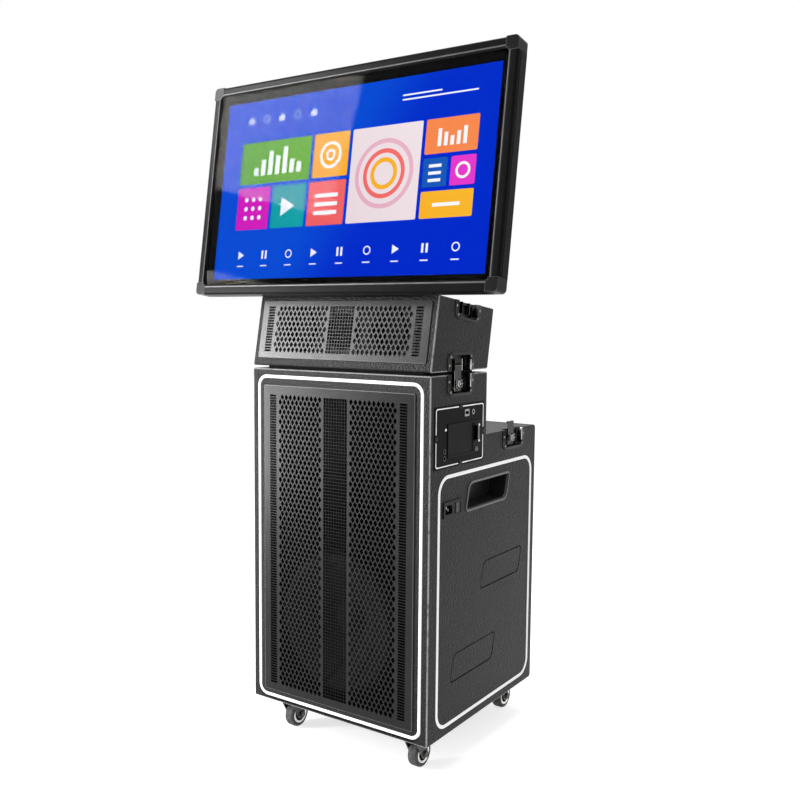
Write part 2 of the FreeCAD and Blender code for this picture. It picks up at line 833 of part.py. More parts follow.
def woofer_cone():
    cone = speaker_cone(WOOFER_R - CONE_RIM, CONE_ROLL, CONE_ROLL_H, CONE_NECK_R, CONE_D, CONE_DOME)
    seat = Placement(Vector(0, WOOFER_ABOVE_BASE, WOOFER_FLANGE_T - WALL), Rotation())
    return at(FRONT.multiply(seat), cone)


def frustum(mouth_w, mouth_h, throat, depth):
    """Four-sided funnel from a rectangle on w = 0 to a square at w = -depth."""
    signs = [(-1, -1), (1, -1), (1, 1), (-1, 1)]
    near = [Vector(a * mouth_w / 2, b * mouth_h / 2, 0) for a, b in signs]
    far = [Vector(a * throat / 2, b * throat / 2, -depth) for a, b in signs]
    rings = [near, far] + [[near[i - 1], near[i], far[i], far[i - 1]] for i in range(4)]
    faces = [Part.Face(Part.makePolygon(corners + corners[:1])) for corners in rings]
    return Part.Solid(Part.Shell(faces))


def horn_flare():
    """Rectangular horn: a flange on the baffle and a mouth narrowing to the throat."""
    half_w = HORN_W / 2
    half_h = HORN_H / 2
    flange = block(-half_w, half_w, -half_h, half_h, 0, HORN_FLANGE_T)
    step = HORN_FLANGE + FIT
    outside = frustum(HORN_W - 2 * step, HORN_H - 2 * step, HORN_THROAT, HORN_DEPTH)
    mouth_w = HORN_W - 2 * step - 2 * HORN_WALL
    mouth_h = HORN_H - 2 * step - 2 * HORN_WALL
    inside = frustum(mouth_w, mouth_h, HORN_THROAT - 2 * HORN_WALL, HORN_DEPTH)
    opening = rectangle_cut(mouth_w, mouth_h, 0)
    flare = joined(flange, outside).cut([inside, shifted(opening, 0, 0, HORN_FLANGE_T - EDGE_R + 1), opening])
    seat = Placement(Vector(0, HORN_ABOVE_BASE, -WALL), Rotation())
    return at(FRONT.multiply(seat), flare)


def horn_driver():
    """Compression driver on the back of the horn's throat."""
    back = -WALL - HORN_DEPTH
    return at(FRONT, rod(0, HORN_ABOVE_BASE, HORN_DRIVER_R, back - HORN_DRIVER_D, back))


def front_light_strip():
    outer, inner = front_strip_rings()
    return at(FRONT, ring(outer, inner, -STRIP_GROOVE, STRIP_PROUD))


def side_light_strips():
    outer, inner = side_strip_rings()
    return group(on_both_sides([at(RIGHT, ring(outer, inner, -STRIP_GROOVE, STRIP_PROUD))]))


def rear_panel():
    """Access panel in its rebate, with two fields of ventilation slots."""
    half = SIDE_X - REAR_MARGIN - FIT
    low = REAR_MARGIN + FIT
    panel = block(-half, half, low, DECK_H - low, -REAR_PANEL_T - SCREW_H, -SCREW_H)
    slot = rectangle_cut(VENT_W, VENT_H, -WALL)
    slots = []
    for row in range(VENT_ROWS):
        v = DECK_H - VENT_BELOW_DECK - row * VENT_PITCH
        slots += [shifted(slot, u, v) for u in (-VENT_X, VENT_X)]
    return at(REAR, panel.cut(slots))


def amplifier_module():
    """Amplifier chassis on the floor of the rear chamber, with a finned heat sink on top."""
    floor = BASE_Z + WALL
    back = BACK_Y - WALL - LOOSE
    chassis = Part.makeBox(AMP_W, AMP_D, AMP_H, Vector(AMP_X - AMP_W / 2, back - AMP_D, floor))
    pitch = (AMP_W - FIN_T) / (FINS - 1)
    fins = []
    for index in range(FINS):
        start = Vector(AMP_X - AMP_W / 2 + index * pitch, back - AMP_D, floor + AMP_H)
        fins.append(Part.makeBox(FIN_T, AMP_D, FIN_H, start))
    return joined(chassis, *fins)


def power_supply():
    """Ring-core mains transformer with its clamping plate."""
    floor = BASE_Z + WALL
    core = turned([(TOROID_HOLE_R, 0), (TOROID_R, 0), (TOROID_R, TOROID_H), (TOROID_HOLE_R, TOROID_H)])
    plate = rod(0, 0, TOROID_R / 2, TOROID_H, TOROID_H + TOROID_PLATE_T)
    centre = Vector(TOROID_X, (COLUMN_BACK_Y + BACK_Y) / 2, floor)
    return group([at(Placement(centre, Rotation()), piece) for piece in (core, plate)])


def control_panel():
    """Plate with openings for the tray, the sockets and the button."""
    plate = block(-PANEL_W / 2, PANEL_W / 2, -PANEL_H / 2, PANEL_H / 2, PANEL_BACK, PANEL_PROUD)
    tray = block(
        TRAY_U - TRAY_W / 2 - FIT,
        TRAY_U + TRAY_W / 2 + FIT,
        TRAY_RAISE - TRAY_H / 2 - FIT,
        TRAY_RAISE + TRAY_H / 2 + FIT,
        PANEL_BACK - 1,
        PANEL_PROUD + 1,
    )
    usb = shifted(rectangle_cut(USB_W + FIT, USB_H + FIT, PANEL_BACK - 1), USB_U, SOCKET_RAISE)
    holes = [(AUX_U, SOCKET_RAISE, AUX_R), (BUTTON_U, BUTTON_RAISE, BUTTON_R)]
    holes += [(JACK_U, raise_v, JACK_R) for raise_v in JACK_RAISE]
    cuts = [rod(u, v, r + FIT, PANEL_BACK - 1, PANEL_PROUD + 1) for u, v, r in holes]
    return at(PANEL, plate.cut([tray, usb] + cuts))


def panel_trim():
    """Bright line round the panel, broken at the screw in the middle of each side."""
    half_w = PANEL_W / 2 - TRIM_INSET
    half_h = PANEL_H / 2 - TRIM_INSET
    low = PANEL_PROUD
    high = PANEL_PROUD + TRIM_T
    outer = rectangle(-half_w, half_w, -half_h, half_h, TRIM_R)
    inner = rectangle(
        TRIM_W - half_w, half_w - TRIM_W, TRIM_W - half_h, half_h - TRIM_W, TRIM_R - TRIM_W
    )
    line = ring(outer, inner, low, high)
    gap = TRIM_BREAK / 2
    breaks = [
        block(-gap, gap, -PANEL_H, PANEL_H, low - 1, high + 1),
        block(-PANEL_W, PANEL_W, -gap, gap, low - 1, high + 1),
    ]
    return at(PANEL, line.cut(breaks))


def panel_sockets():
    """Data port, audio jack and two microphone jacks."""
    low = PANEL_BACK - SOCKET_DEPTH - SOCKET_BACK
    high = PANEL_PROUD + SOCKET_PROUD
    usb = block(-USB_W / 2, USB_W / 2, -USB_H / 2, USB_H / 2, low, high)
    slot = block(
        -USB_SLOT_W / 2,
        USB_SLOT_W / 2,
        -USB_SLOT_H / 2,
        USB_SLOT_H / 2,
        high - SOCKET_DEPTH,
        high + 1,
    )
    sockets = [shifted(usb.cut(slot), USB_U, SOCKET_RAISE)]
    round_ones = [(AUX_U, SOCKET_RAISE, AUX_R)] + [(JACK_U, v, JACK_R) for v in JACK_RAISE]
    for u, v, radius in round_ones:
        barrel = rod(u, v, radius, low, high)
        sockets.append(barrel.cut(rod(u, v, JACK_BORE_R, high - SOCKET_DEPTH, high + 1)))
    return group([at(PANEL, socket) for socket in sockets])


def power_button():
    return at(PANEL, rod(BUTTON_U, BUTTON_RAISE, BUTTON_R, -BUTTON_DEEP, PANEL_PROUD + BUTTON_PROUD))


def player_chassis():
    """Sheet metal case of the song player, with the rails that guide the tray."""
    back = PANEL_BACK - CHASSIS_D
    case = block(*chassis_sides(LOOSE), back, PANEL_BACK)
    inside = block(*chassis_sides(LOOSE + CHASSIS_T), back + CHASSIS_T, PANEL_BACK + 1)
    floor = chassis_sides(LOOSE + CHASSIS_T)[2]
    tray_low = TRAY_RAISE - TRAY_H / 2 + TRAY_BODY_STEP - HUB_GAP
    rails = []
    for side in (-1, 1):
        centre = TRAY_U + side * (TRAY_W / 2 - TRAY_BODY_STEP - RAIL_W / 2)
        low_u = centre - RAIL_W / 2
        rail_end = PANEL_BACK - SOCKET_BACK
        rails.append(block(low_u, low_u + RAIL_W, floor, tray_low, back + CHASSIS_T, rail_end))
    return at(PANEL, joined(case.cut(inside), *rails))


def disk_tray():
    """Pull-out disk carrier: front with sunk field, lock and bar over a finger hole, and the carrier behind."""
    face = PANEL_BACK + TRAY_FRONT_T
    front = block(-TRAY_W / 2, TRAY_W / 2, -TRAY_H / 2, TRAY_H / 2, PANEL_BACK, face)
    field = block(
        TRAY_FIELD_LEFT - TRAY_W / 2,
        TRAY_FIELD_LEFT + TRAY_FIELD_W - TRAY_W / 2,
        -TRAY_FIELD_H / 2,
        TRAY_FIELD_H / 2,
        face - TRAY_FIELD_DEPTH,
        face + 1,
    )
    half_w = TRAY_W / 2 - TRAY_BODY_STEP
    half_h = TRAY_H / 2 - TRAY_BODY_STEP
    carrier = block(-half_w, half_w, -half_h, half_h, PANEL_BACK - TRAY_BODY_D, PANEL_BACK)
    bar_u = TRAY_W / 2 - HANDLE_FROM_EDGE
    half_t = HANDLE_T / 2
    low = HANDLE_RAISE - HANDLE_H / 2
    high = HANDLE_RAISE + HANDLE_H / 2
    bar = block(bar_u - half_t, bar_u + half_t, low, high, face, face + HANDLE_REACH)
    grip = face + HANDLE_REACH - HANDLE_T
    room_end = bar_u + HANDLE_ROOM_PAST
    room = block(
        room_end - HANDLE_ROOM_W,
        room_end,
        low + HANDLE_T,
        high - HANDLE_T,
        face - HANDLE_ROOM_D,
        grip,
    )
    lock = rod(bar_u, LOCK_RAISE, LOCK_R, face, face + LOCK_PROUD)
    tray = joined(front.cut(field), carrier, bar, lock).cut(room)
    return at(PANEL, shifted(tray, TRAY_U, TRAY_RAISE))


def mains_socket(grow=0.0):
    """Outline of the mains socket, with two cut corners."""
    half_w = SOCKET_W / 2 + grow
    half_h = SOCKET_H / 2 + grow
    return outline(
        [
            (-half_w, -half_h),
            (half_w, -half_h),
            (half_w, half_h - SOCKET_CUT),
            (half_w - SOCKET_CUT, half_h),
            (SOCKET_CUT - half_w, half_h),
            (-half_w, half_h - SOCKET_CUT),
        ],
        0,
    )


def inlet_housing():
    """Mains inlet with three blades, beside the opening of the rocker switch."""
    half_w = INLET_W / 2
    half_h = INLET_H / 2
    plate = block(-half_w, half_w, -half_h, half_h, 0, INLET_T)
    step = INLET_LEDGE + FIT
    body = block(step - half_w, half_w - step, step - half_h, half_h - step, -INLET_DEPTH, 0)
    socket_u = MAINS_LEFT + SOCKET_W / 2 - half_w
    cavity = shifted(slab(mains_socket(), INLET_T - MAINS_DEPTH, INLET_T + 1), socket_u, 0)
    room = ROCKER_R + FIT
    switch = block(
        ROCKER_U - room,
        ROCKER_U + room,
        -ROCKER_H / 2 - FIT,
        ROCKER_H / 2 + FIT,
        ROCKER_PIVOT_W - ROCKER_R - LOOSE,
        INLET_T + 1,
    )
    housing = joined(plate, body).cut([cavity, switch])
    floor = INLET_T - MAINS_DEPTH
    blades = []
    for index in (-1, 0, 1):
        u = socket_u + index * BLADE_PITCH
        v = BLADE_H / 2 if index == 0 else -BLADE_H / 2
        blades.append(
            block(u - BLADE_W / 2, u + BLADE_W / 2, v - BLADE_H / 2, v + BLADE_H / 2, floor, floor + BLADE_L)
        )
    return at(INLET, joined(housing, *blades))


def power_rocker():
    """Rocker key with round flanks, resting on its off side."""
    key = Part.makeCylinder(ROCKER_R, ROCKER_H, Vector(0, -ROCKER_H / 2, 0), Y)
    top = [(-ROCKER_R, -ROCKER_DEEP), (ROCKER_R, -ROCKER_DEEP), (ROCKER_R, ROCKER_RISE + ROCKER_SLOPE)]
    top += [(0, ROCKER_RISE), (-ROCKER_R, ROCKER_RISE + ROCKER_SLOPE)]
    wedge = Part.Face(Part.makePolygon([Vector(u, -ROCKER_H / 2, w) for u, w in top + top[:1]]))
    key = key.common(wedge.extrude(Y * ROCKER_H))
    tilt = Placement(Vector(ROCKER_U, 0, ROCKER_PIVOT_W), Rotation(Y, ROCKER_TILT))
    return at(INLET.multiply(tilt), key)


def pocket_handles():
    """Moulded grip cups let into both sides."""
    cup = slab(leaf(), -POCKET_DEPTH, POCKET_RIM_T)
    rim = slab(leaf(POCKET_RIM), 0, POCKET_RIM_T)
    hollow = slab(leaf(-POCKET_WALL), POCKET_WALL - POCKET_DEPTH, POCKET_RIM_T + 1)
    return group(on_both_sides([at(POCKET, joined(cup, rim).cut(hollow))]))


def side_covers():
    """Flush blanking covers in the same outline as the grip cups."""
    return group([at(frame, slab(leaf(), -COVER_T, 0)) for frame in COVERS])


def latch_dishes():
    return group(on_both_sides([at(frame, latch_plate(DISH_H)) for frame in LATCHES.values()]))


def latch_keepers():
    """Fixed halves with the ridge that a hook grips: over the joining latches, and at the top for a lid."""
    plate = latch_plate(KEEPER_H)
    ridge_top = HOOK_HIGH - CLAW_H - FIT
    ridge = block(
        -HOOK_W / 2,
        HOOK_W / 2,
        SEAM - ridge_top,
        SEAM - ridge_top + RIDGE_H,
        -WELL_DEPTH,
        -HOOK_BACK - HUB_GAP,
    )
    inner = HOOK_W / 2 + FIT
    ribs = [
        block(start, start + KEEPER_RIB_T, -KEEPER_RIB_H, -HUB_GAP, -WELL_DEPTH, -KEEPER_RIB_SUNK)
        for start in (inner, -inner - KEEPER_RIB_T)
    ]
    keeper = joined(plate, ridge, *ribs)
    return group(on_both_sides([at(JOIN_LATCH, upside_down(keeper)), at(TOP_KEEPER, keeper)]))


def latch_wing():
    """Butterfly key on its spindle, lying flat in the well."""
    outer = -WING_SUNK
    inner = outer - WING_T
    half = WING_R * math.cos(math.asin(WING_TIP / WING_R))
    corners = [(-half, -WING_TIP), (0, -WING_WAIST), (half, -WING_TIP)]
    corners += [(half, WING_TIP), (0, WING_WAIST), (-half, WING_TIP)]
    key = slab(outline(corners, [WING_CORNER_R, 0, WING_CORNER_R] * 2), inner, outer)
    boss = rod(0, 0, WING_BOSS_R, inner - WING_BOSS_RISE, outer + WING_BOSS_RISE)
    spindle = rod(0, 0, SPINDLE_R, HUB_GAP - WELL_DEPTH, inner)
    return shifted(joined(key, boss, spindle), 0, -SPINDLE_DROP)


def latch_hook():
    """Sliding draw plate, slotted round the spindle, with the claw at its top."""
    back = -HOOK_BACK
    plate = block(-HOOK_W / 2, HOOK_W / 2, -HOOK_LOW, HOOK_HIGH, back, back + HOOK_T)
    claw = block(-HOOK_W / 2, HOOK_W / 2, HOOK_HIGH - CLAW_H, HOOK_HIGH, back - CLAW_REACH, back)
    room = SPINDLE_R + FIT
    low = -SPINDLE_DROP - room - HOOK_STROKE
    slot = slab(rectangle(-room, room, low, room - SPINDLE_DROP, SPINDLE_R), back - 1, back + HOOK_T + 1)
    return joined(plate, claw).cut(slot)


def seam_seal():
    """Rubber frame that the upper box stands on."""
    outer = rectangle(
        SEAL_INSET - SIDE_X,
        SIDE_X - SEAL_INSET,
        FRONT_Y + SEAL_INSET,
        COLUMN_BACK_Y - SEAL_INSET,
        SEAL_W,
    )
    inset = SEAL_INSET + SEAL_W
    inner = rectangle(inset - SIDE_X, SIDE_X - inset, FRONT_Y + inset, COLUMN_BACK_Y - inset)
    return ring(outer, inner, COLUMN_TOP_Z, UPPER_Z)


def upper_box_shell():
    """Wedge-shaped speaker box whose front wall is its baffle."""
    corners = [(FRONT_Y, UPPER_Z), (COLUMN_BACK_Y, UPPER_Z), UPPER_REAR_TOP, UPPER_FRONT_TOP]
    body = rounded_sides(profile_x(corners, -SIDE_X, SIDE_X, EDGE_R), SIDE_X, SIDE_EDGE_R)
    slant = UPPER_WALL / math.cos(LEAN)
    low = UPPER_Z + UPPER_WALL
    drop = UPPER_WALL / TOP_BACK.y

    def wall_y(start, z):
        return start + (z - UPPER_Z) * math.tan(LEAN)

    def top_z(y):
        return UPPER_FRONT_TOP[1] + (y - UPPER_FRONT_TOP[0]) * TOP_BACK.z / TOP_BACK.y - drop

    front_y = wall_y(FRONT_Y, UPPER_FRONT_TOP[1] - UPPER_WALL) + slant
    back_y = wall_y(COLUMN_BACK_Y, UPPER_REAR_TOP[1] - UPPER_WALL) - slant
    inside = [
        (wall_y(FRONT_Y, low) + slant, low),
        (wall_y(COLUMN_BACK_Y, low) - slant, low),
        (back_y, top_z(back_y)),
        (front_y, top_z(front_y)),
    ]
    chamber = profile_x(inside, UPPER_WALL - SIDE_X, SIDE_X - UPPER_WALL)
    half = UPPER_GRILLE_HALF - GRILLE_SEAT
    recess = block(
        -half,
        half,
        UPPER_GRILLE_LOW + GRILLE_SEAT,
        UPPER_GRILLE_TOP - GRILLE_SEAT,
        -UPPER_RECESS,
        EDGE_R,
    )
    cuts = [chamber, at(UPPER_FRONT, recess)]
    for u, radius in ((-MID_X, MID_R), (MID_X, MID_R), (0, TWEETER_R)):
        hole = rod(u, DRIVER_V, radius - MID_LEDGE, -2 * UPPER_WALL, EDGE_R)
        cuts.append(at(UPPER_FRONT, hole))
    cuts += on_both_sides([at(TOP_KEEPER, latch_pocket(KEEPER_H))])
    cuts += on_both_sides([at(JOIN_LATCH, upside_down(latch_pocket(KEEPER_H)))])
    return body.cut(cuts)


def driver_seat(u):
    """Local frame of a driver on the floor of the upper box's front recess."""
    return UPPER_FRONT.multiply(Placement(Vector(u, DRIVER_V, -UPPER_RECESS), Rotation()))


def mid_baskets():
    """Frames of the two middle-range drivers, each with its magnet."""
    neck = MID_R - MID_LEDGE - FIT
    basket = turned(
        [
            (neck - MID_FLANGE_T, MID_FLANGE_T),
            (MID_R, MID_FLANGE_T),
            (MID_R, 0),
            (neck, 0),
            (neck, -UPPER_WALL),
            (MID_MAGNET_R, -MID_DEPTH / 2),
            (MID_MAGNET_R, -MID_DEPTH),
            (0, -MID_DEPTH),
            (0, -MID_DEPTH / 2),
            (MID_MAGNET_R - MID_FLANGE_T, -MID_DEPTH / 2),
            (neck - MID_FLANGE_T, -UPPER_WALL),
        ]
    )
    return group([at(driver_seat(u), basket) for u in (-MID_X, MID_X)])


def mid_cones():
    cone = speaker_cone(MID_R - CONE_T, MID_ROLL, MID_ROLL_H, MID_MAGNET_R / 2, MID_CONE_D, MID_DOME)
    return group([at(driver_seat(u), shifted(cone, 0, 0, MID_FLANGE_T)) for u in (-MID_X, MID_X)])


def upper_tweeter():
    """Dome tweeter in the middle of the upper box."""
    neck = TWEETER_R - MID_LEDGE - FIT
    dome = turned(
        [
            (0, MID_FLANGE_T),
            (neck / 2, 0),
            (neck, MID_FLANGE_T),
            (TWEETER_R, MID_FLANGE_T),
            (TWEETER_R, 0),
            (neck, 0),
            (neck, -TWEETER_DEPTH),
            (0, -TWEETER_DEPTH),
        ]
    )
    return at(driver_seat(0), dome)


def bezel_bar(length):
    """Extruded screen bar along u, outer edge on v = 0, front on w = 0."""
    groove_top = -MONITOR_T / 2 + BEZEL_GROOVE_W / 2
    section = [
        (0, -MONITOR_T),
        (0, groove_top - BEZEL_GROOVE_W),
        (BEZEL_GROOVE, groove_top - BEZEL_GROOVE_W),
        (BEZEL_GROOVE, groove_top),
        (0, groove_top),
        (0, -BEZEL_BEVEL),
        (BEZEL_BEVEL, 0),
        (BEZEL - BEZEL_LIP, 0),
        (BEZEL, -BEZEL_LIP),
        (BEZEL, -MONITOR_T),
    ]
    face = Part.Face(Part.makePolygon([Vector(-length / 2, v, w) for v, w in section + section[:1]]))
    hollow = block(
        -length, length, BEZEL_WALL, BEZEL - BEZEL_WALL, BEZEL_WALL - MONITOR_T, -BEZEL_LIP - BEZEL_WALL
    )
    return face.extrude(X * length).cut(hollow)


def monitor_frame():
    """Bottom, right, top and left bar of the screen."""
    across = bezel_bar(MONITOR_W - 2 * CORNER)
    upright = bezel_bar(MONITOR_H - 2 * CORNER)
    half_w = MONITOR_W / 2
    middle = MONITOR_H / 2
    seats = [(0, 0, 0, across), (half_w, middle, 90, upright)]
    seats += [(0, MONITOR_H, 180, across), (-half_w, middle, 270, upright)]
    bars = [at(Placement(Vector(u, v, 0), Rotation(Z, turn)), bar) for u, v, turn, bar in seats]
    return group([at(SCREEN, bar) for bar in bars])


def monitor_corners():
    """Corner caps that close the ends of the bars."""
    cap_outline = outline(
        [
            (0, 0),
            (CORNER, 0),
            (CORNER, BEZEL),
            (BEZEL, BEZEL),
            (BEZEL, CORNER),
            (0, CORNER),
        ],
        [CORNER_R, 0, 0, 0, 0, 0],
    )
    cap = slab(cap_outline, -MONITOR_T, CORNER_PROUD)
    half_w = MONITOR_W / 2
    corners = [(-half_w, 0, 0), (half_w, 0, 90), (half_w, MONITOR_H, 180), (-half_w, MONITOR_H, 270)]
    caps = [at(Placement(Vector(u, v, 0), Rotation(Z, turn)), cap) for u, v, turn in corners]
    return group([at(SCREEN, piece) for piece in caps])


def screen_sheet(margin, low, high):
    half = MONITOR_W / 2 - margin
    return block(-half, half, margin, MONITOR_H - margin, low, high)


def touch_glass():
    return at(SCREEN, screen_sheet(BEZEL + HUB_GAP, -BEZEL_LIP - GLASS_T, -BEZEL_LIP))


def lcd_panel():
    front = -BEZEL_LIP - GLASS_T
    return at(SCREEN, screen_sheet(BEZEL + LCD_MARGIN, front - LCD_T, front))


def monitor_back_cover():
    """Sheet steel back with a raised and slotted pan over the electronics."""
    low = -MONITOR_T - BACK_SHEET
    sheet = screen_sheet(BEZEL_BEVEL, low, -MONITOR_T)
    middle = MONITOR_H / 2
    pan = block(-PAN_W / 2, PAN_W / 2, middle - PAN_H / 2, middle + PAN_H / 2, low - PAN_D, low)
    hollow = block(
        BACK_SHEET - PAN_W / 2,
        PAN_W / 2 - BACK_SHEET,
        middle - PAN_H / 2 + BACK_SHEET,
        middle + PAN_H / 2 - BACK_SHEET,
        low - PAN_D + BACK_SHEET,
        0,
    )
    slots = []
    for index in range(PAN_SLOTS):
        start = PAN_W / 2 - PAN_SLOT_INSET - PAN_SLOT_W - index * PAN_SLOT_PITCH
        for u in (start, -start - PAN_SLOT_W):
            slots.append(
                block(
                    u,
                    u + PAN_SLOT_W,
                    middle - PAN_SLOT_H / 2,
                    middle + PAN_SLOT_H / 2,
                    low - PAN_D - 1,
                    low - PAN_D + BACK_SHEET + 1,
                )
            )
    return at(SCREEN, joined(sheet, pan).cut([hollow] + slots))


def ear_outline(reach, radius, width):
    """Plate outline (distance behind the seat, height) with a round end about the pivot."""
    end = reach + radius
    corners = [(0, -width), (end, -radius), (end, radius), (0, width)]
    return outline(corners, [0, radius - 1, radius - 1, 0])


def tilt_plate():
    """Screen mounting plate with the two ears that turn on the pin."""
    front = -MONITOR_T - BACK_SHEET - PAN_D
    middle = MONITOR_H / 2
    half = TILT_PLATE / 2
    plate = block(-half, half, middle - half, middle + half, front - TILT_PLATE_T, front)
    ear = slab(ear_outline(PIVOT_BACK, EAR_R, EAR_R * 2), 0, EAR_T)
    ear = ear.cut(rod(PIVOT_BACK, 0, PIVOT_R + RUN, -1, EAR_T + 1))
    inside = POST_W / 2 - POST_T - FIT - EAR_T
    seat = front - TILT_PLATE_T
    ears = []
    for start in (inside, -inside - EAR_T):
        frame = Placement(Vector(start, middle, seat), Rotation(-Z, Y, X, "XYZ"))
        ears.append(at(frame, ear))
    return at(SCREEN, joined(plate, *ears))


def tilt_pin():
    return Part.makeCylinder(PIVOT_R, POST_W, PIVOT - X * (POST_W / 2), X)


def monitor_stand():
    """Channel post with a foot plate on the upper box's sloping top."""
    top = PIVOT.z + POST_OVER
    low = UPPER_REAR_TOP[1]
    y0 = PIVOT.y - POST_FRONT
    y1 = PIVOT.y + POST_BACK
    corners = [(y0, low), (y1, low), (y1, top), (y0, top)]
    outer = profile_x(corners, -POST_W / 2, POST_W / 2, [0, 0, 0, POST_OVER])
    inner_half = POST_W / 2 - POST_T
    hollow = Part.makeBox(2 * inner_half, POST_FRONT + POST_BACK - POST_T, top, Vector(-inner_half, y0, low))
    channel = outer.cut(hollow)
    below = at(UPPER_TOP, block(-POST_W, POST_W, -UPPER_FRONT_H, CAB_D, -CAB_D, 0))
    channel = channel.cut(below)
    centre = (PIVOT.y + (POST_BACK - POST_FRONT) / 2 - UPPER_FRONT_TOP[0]) / TOP_BACK.y
    foot = block(-FOOT_W / 2, FOOT_W / 2, centre - FOOT_D / 2, centre + FOOT_D / 2, 0, FOOT_T)
    pin_hole = Part.makeCylinder(PIVOT_R + RUN, 2 * POST_W, PIVOT - X * POST_W, X)
    return joined(at(UPPER_TOP, foot), channel).cut(pin_hole)


def caster_plates():
    """Fixed top plates with their races and kingpins."""
    low = CASTER_H - CASTER_PLATE_T
    race_low = low - RACE_H
    head_top = race_low - HUB_GAP - CROWN_T - HUB_GAP
    half = CASTER_PLATE / 2
    plate = block(-half, half, -half, half, low, CASTER_H)
    race = rod(0, 0, RACE_R, race_low, low)
    pin = rod(0, 0, KINGPIN_R, head_top, race_low)
    head = rod(0, 0, KINGPIN_HEAD_R, head_top - KINGPIN_HEAD_H, head_top)
    caster = joined(plate, race, pin, head)
    return group([shifted(caster, x, y) for x, y in CASTERS.values()])


def caster_fork(x, y):
    """Swivelling yoke with two tapered legs, and its axle bolt."""
    crown_top = CASTER_H - CASTER_PLATE_T - RACE_H - HUB_GAP
    crown_low = crown_top - CROWN_T
    gap = WHEEL_W / 2 + LOOSE
    crown = rod(0, 0, RACE_R, crown_low, crown_top)
    bridge = block(-gap - LEG_T, gap + LEG_T, -LEG_TOP_HALF, LEG_TOP_HALF, crown_low, crown_top)
    leg_outline = outline(
        [
            (-LEG_TOP_HALF, crown_top),
            (CASTER_TRAIL - LEG_END_R, WHEEL_R - LEG_END_R),
            (CASTER_TRAIL + LEG_END_R, WHEEL_R - LEG_END_R),
            (LEG_TOP_HALF, crown_top),
        ],
        [0, LEG_END_R - 1, LEG_END_R - 1, 0],
    )
    turn = Placement(Vector(), Rotation(Y, Z, X, "XYZ"))
    legs = [at(turn, slab(leg_outline, start, start + LEG_T)) for start in (-gap - LEG_T, gap)]
    axle_at = Vector(-gap - LEG_T, CASTER_TRAIL, WHEEL_R)
    hole = Part.makeCylinder(AXLE_R + RUN, 2 * gap + 2 * LEG_T, axle_at, X)
    pin_hole = rod(0, 0, KINGPIN_R + HUB_GAP, crown_low - 1, crown_top + 1)
    yoke = joined(crown, bridge, *legs).cut([hole, pin_hole])
    axle = Part.makeCylinder(AXLE_R, 2 * gap + 2 * LEG_T, axle_at, X)
    heads = [
        Part.makeCylinder(AXLE_NUT_R, AXLE_R, Vector(start, CASTER_TRAIL, WHEEL_R), X)
        for start in (-gap - LEG_T - AXLE_R, gap + LEG_T)
    ]
    return group([shifted(piece, x, y) for piece in (yoke, joined(axle, *heads))])


def caster_wheel(x, y):
    """Crowned tyre on a hub that runs on the axle."""
    half = WHEEL_W / 2
    rim_r = WHEEL_R - TYRE_T
    tyre = turned(
        [
            (rim_r, -half + 1),
            (WHEEL_R - TYRE_CROWN, -half),
            (WHEEL_R, -half + TYRE_CROWN),
            (WHEEL_R, half - TYRE_CROWN),
            (WHEEL_R - TYRE_CROWN, half),
            (rim_r, half - 1),
        ]
    )
    hub = turned(
        [
            (AXLE_R + RUN, -half),
            (HUB_BOSS_R, -half),
            (HUB_BOSS_R, -half / 3),
            (rim_r - RIM_T, -half / 3),
            (rim_r - RIM_T, -half + 1),
            (rim_r, -half + 1),
            (rim_r, half - 1),
            (rim_r - RIM_T, half - 1),
            (rim_r - RIM_T, half / 3),
            (HUB_BOSS_R, half / 3),
            (HUB_BOSS_R, half),
            (AXLE_R + RUN, half),
        ]
    )
    axis = Placement(Vector(x, y + CASTER_TRAIL, WHEEL_R), Rotation(Y, Z, X, "XYZ"))
    return group([at(axis, tyre), at(axis, hub)])


def screw(frame, u, v, w):
    return at(frame, rod(u, v, SCREW_R, w, w + SCREW_H))


def hex_bolt(frame, u, v, low):
    angles = [k * math.pi / 3 for k in range(6)]
    corners = [(u + BOLT_R * math.cos(a), v + BOLT_R * math.sin(a)) for a in angles]
    return at(frame, slab(outline(corners, 0), low, low + BOLT_H))


def case_screws():
    """Screws of the rear panel and the control panel, and the bolts of casters and stand."""
    pieces = []
    half = SIDE_X - REAR_MARGIN - REAR_LEDGE / 2
    low = REAR_MARGIN + REAR_LEDGE / 2
    for u in (-half, 0, half):
        for v in (low, DECK_H / 2, DECK_H - low):
            if (u, v) != (0, DECK_H / 2):
                pieces.append(screw(REAR, u, v, -SCREW_H))
    edge = TRIM_INSET + TRIM_W / 2
    for u, v in ((0, 1), (0, -1), (1, 0), (-1, 0)):
        pieces.append(screw(PANEL, u * (PANEL_W / 2 - edge), v * (PANEL_H / 2 - edge), PANEL_PROUD))
    reach = CASTER_PLATE / 2 - BOLT_INSET
    under = Placement(Vector(0, 0, CASTER_H - CASTER_PLATE_T - BOLT_H), Rotation())
    for x, y in CASTERS.values():
        for u, v in ((-1, -1), (-1, 1), (1, -1), (1, 1)):
            pieces.append(hex_bolt(under, x + u * reach, y + v * reach, 0))
    centre = (PIVOT.y + (POST_BACK - POST_FRONT) / 2 - UPPER_FRONT_TOP[0]) / TOP_BACK.y
    for u in (-1, 1):
        for v in (-1, 1):
            across = u * (FOOT_W / 2 - BOLT_INSET)
            along = centre + v * (FOOT_D / 2 - BOLT_INSET)
            pieces.append(hex_bolt(UPPER_TOP, across, along, FOOT_T))
    return group(pieces)


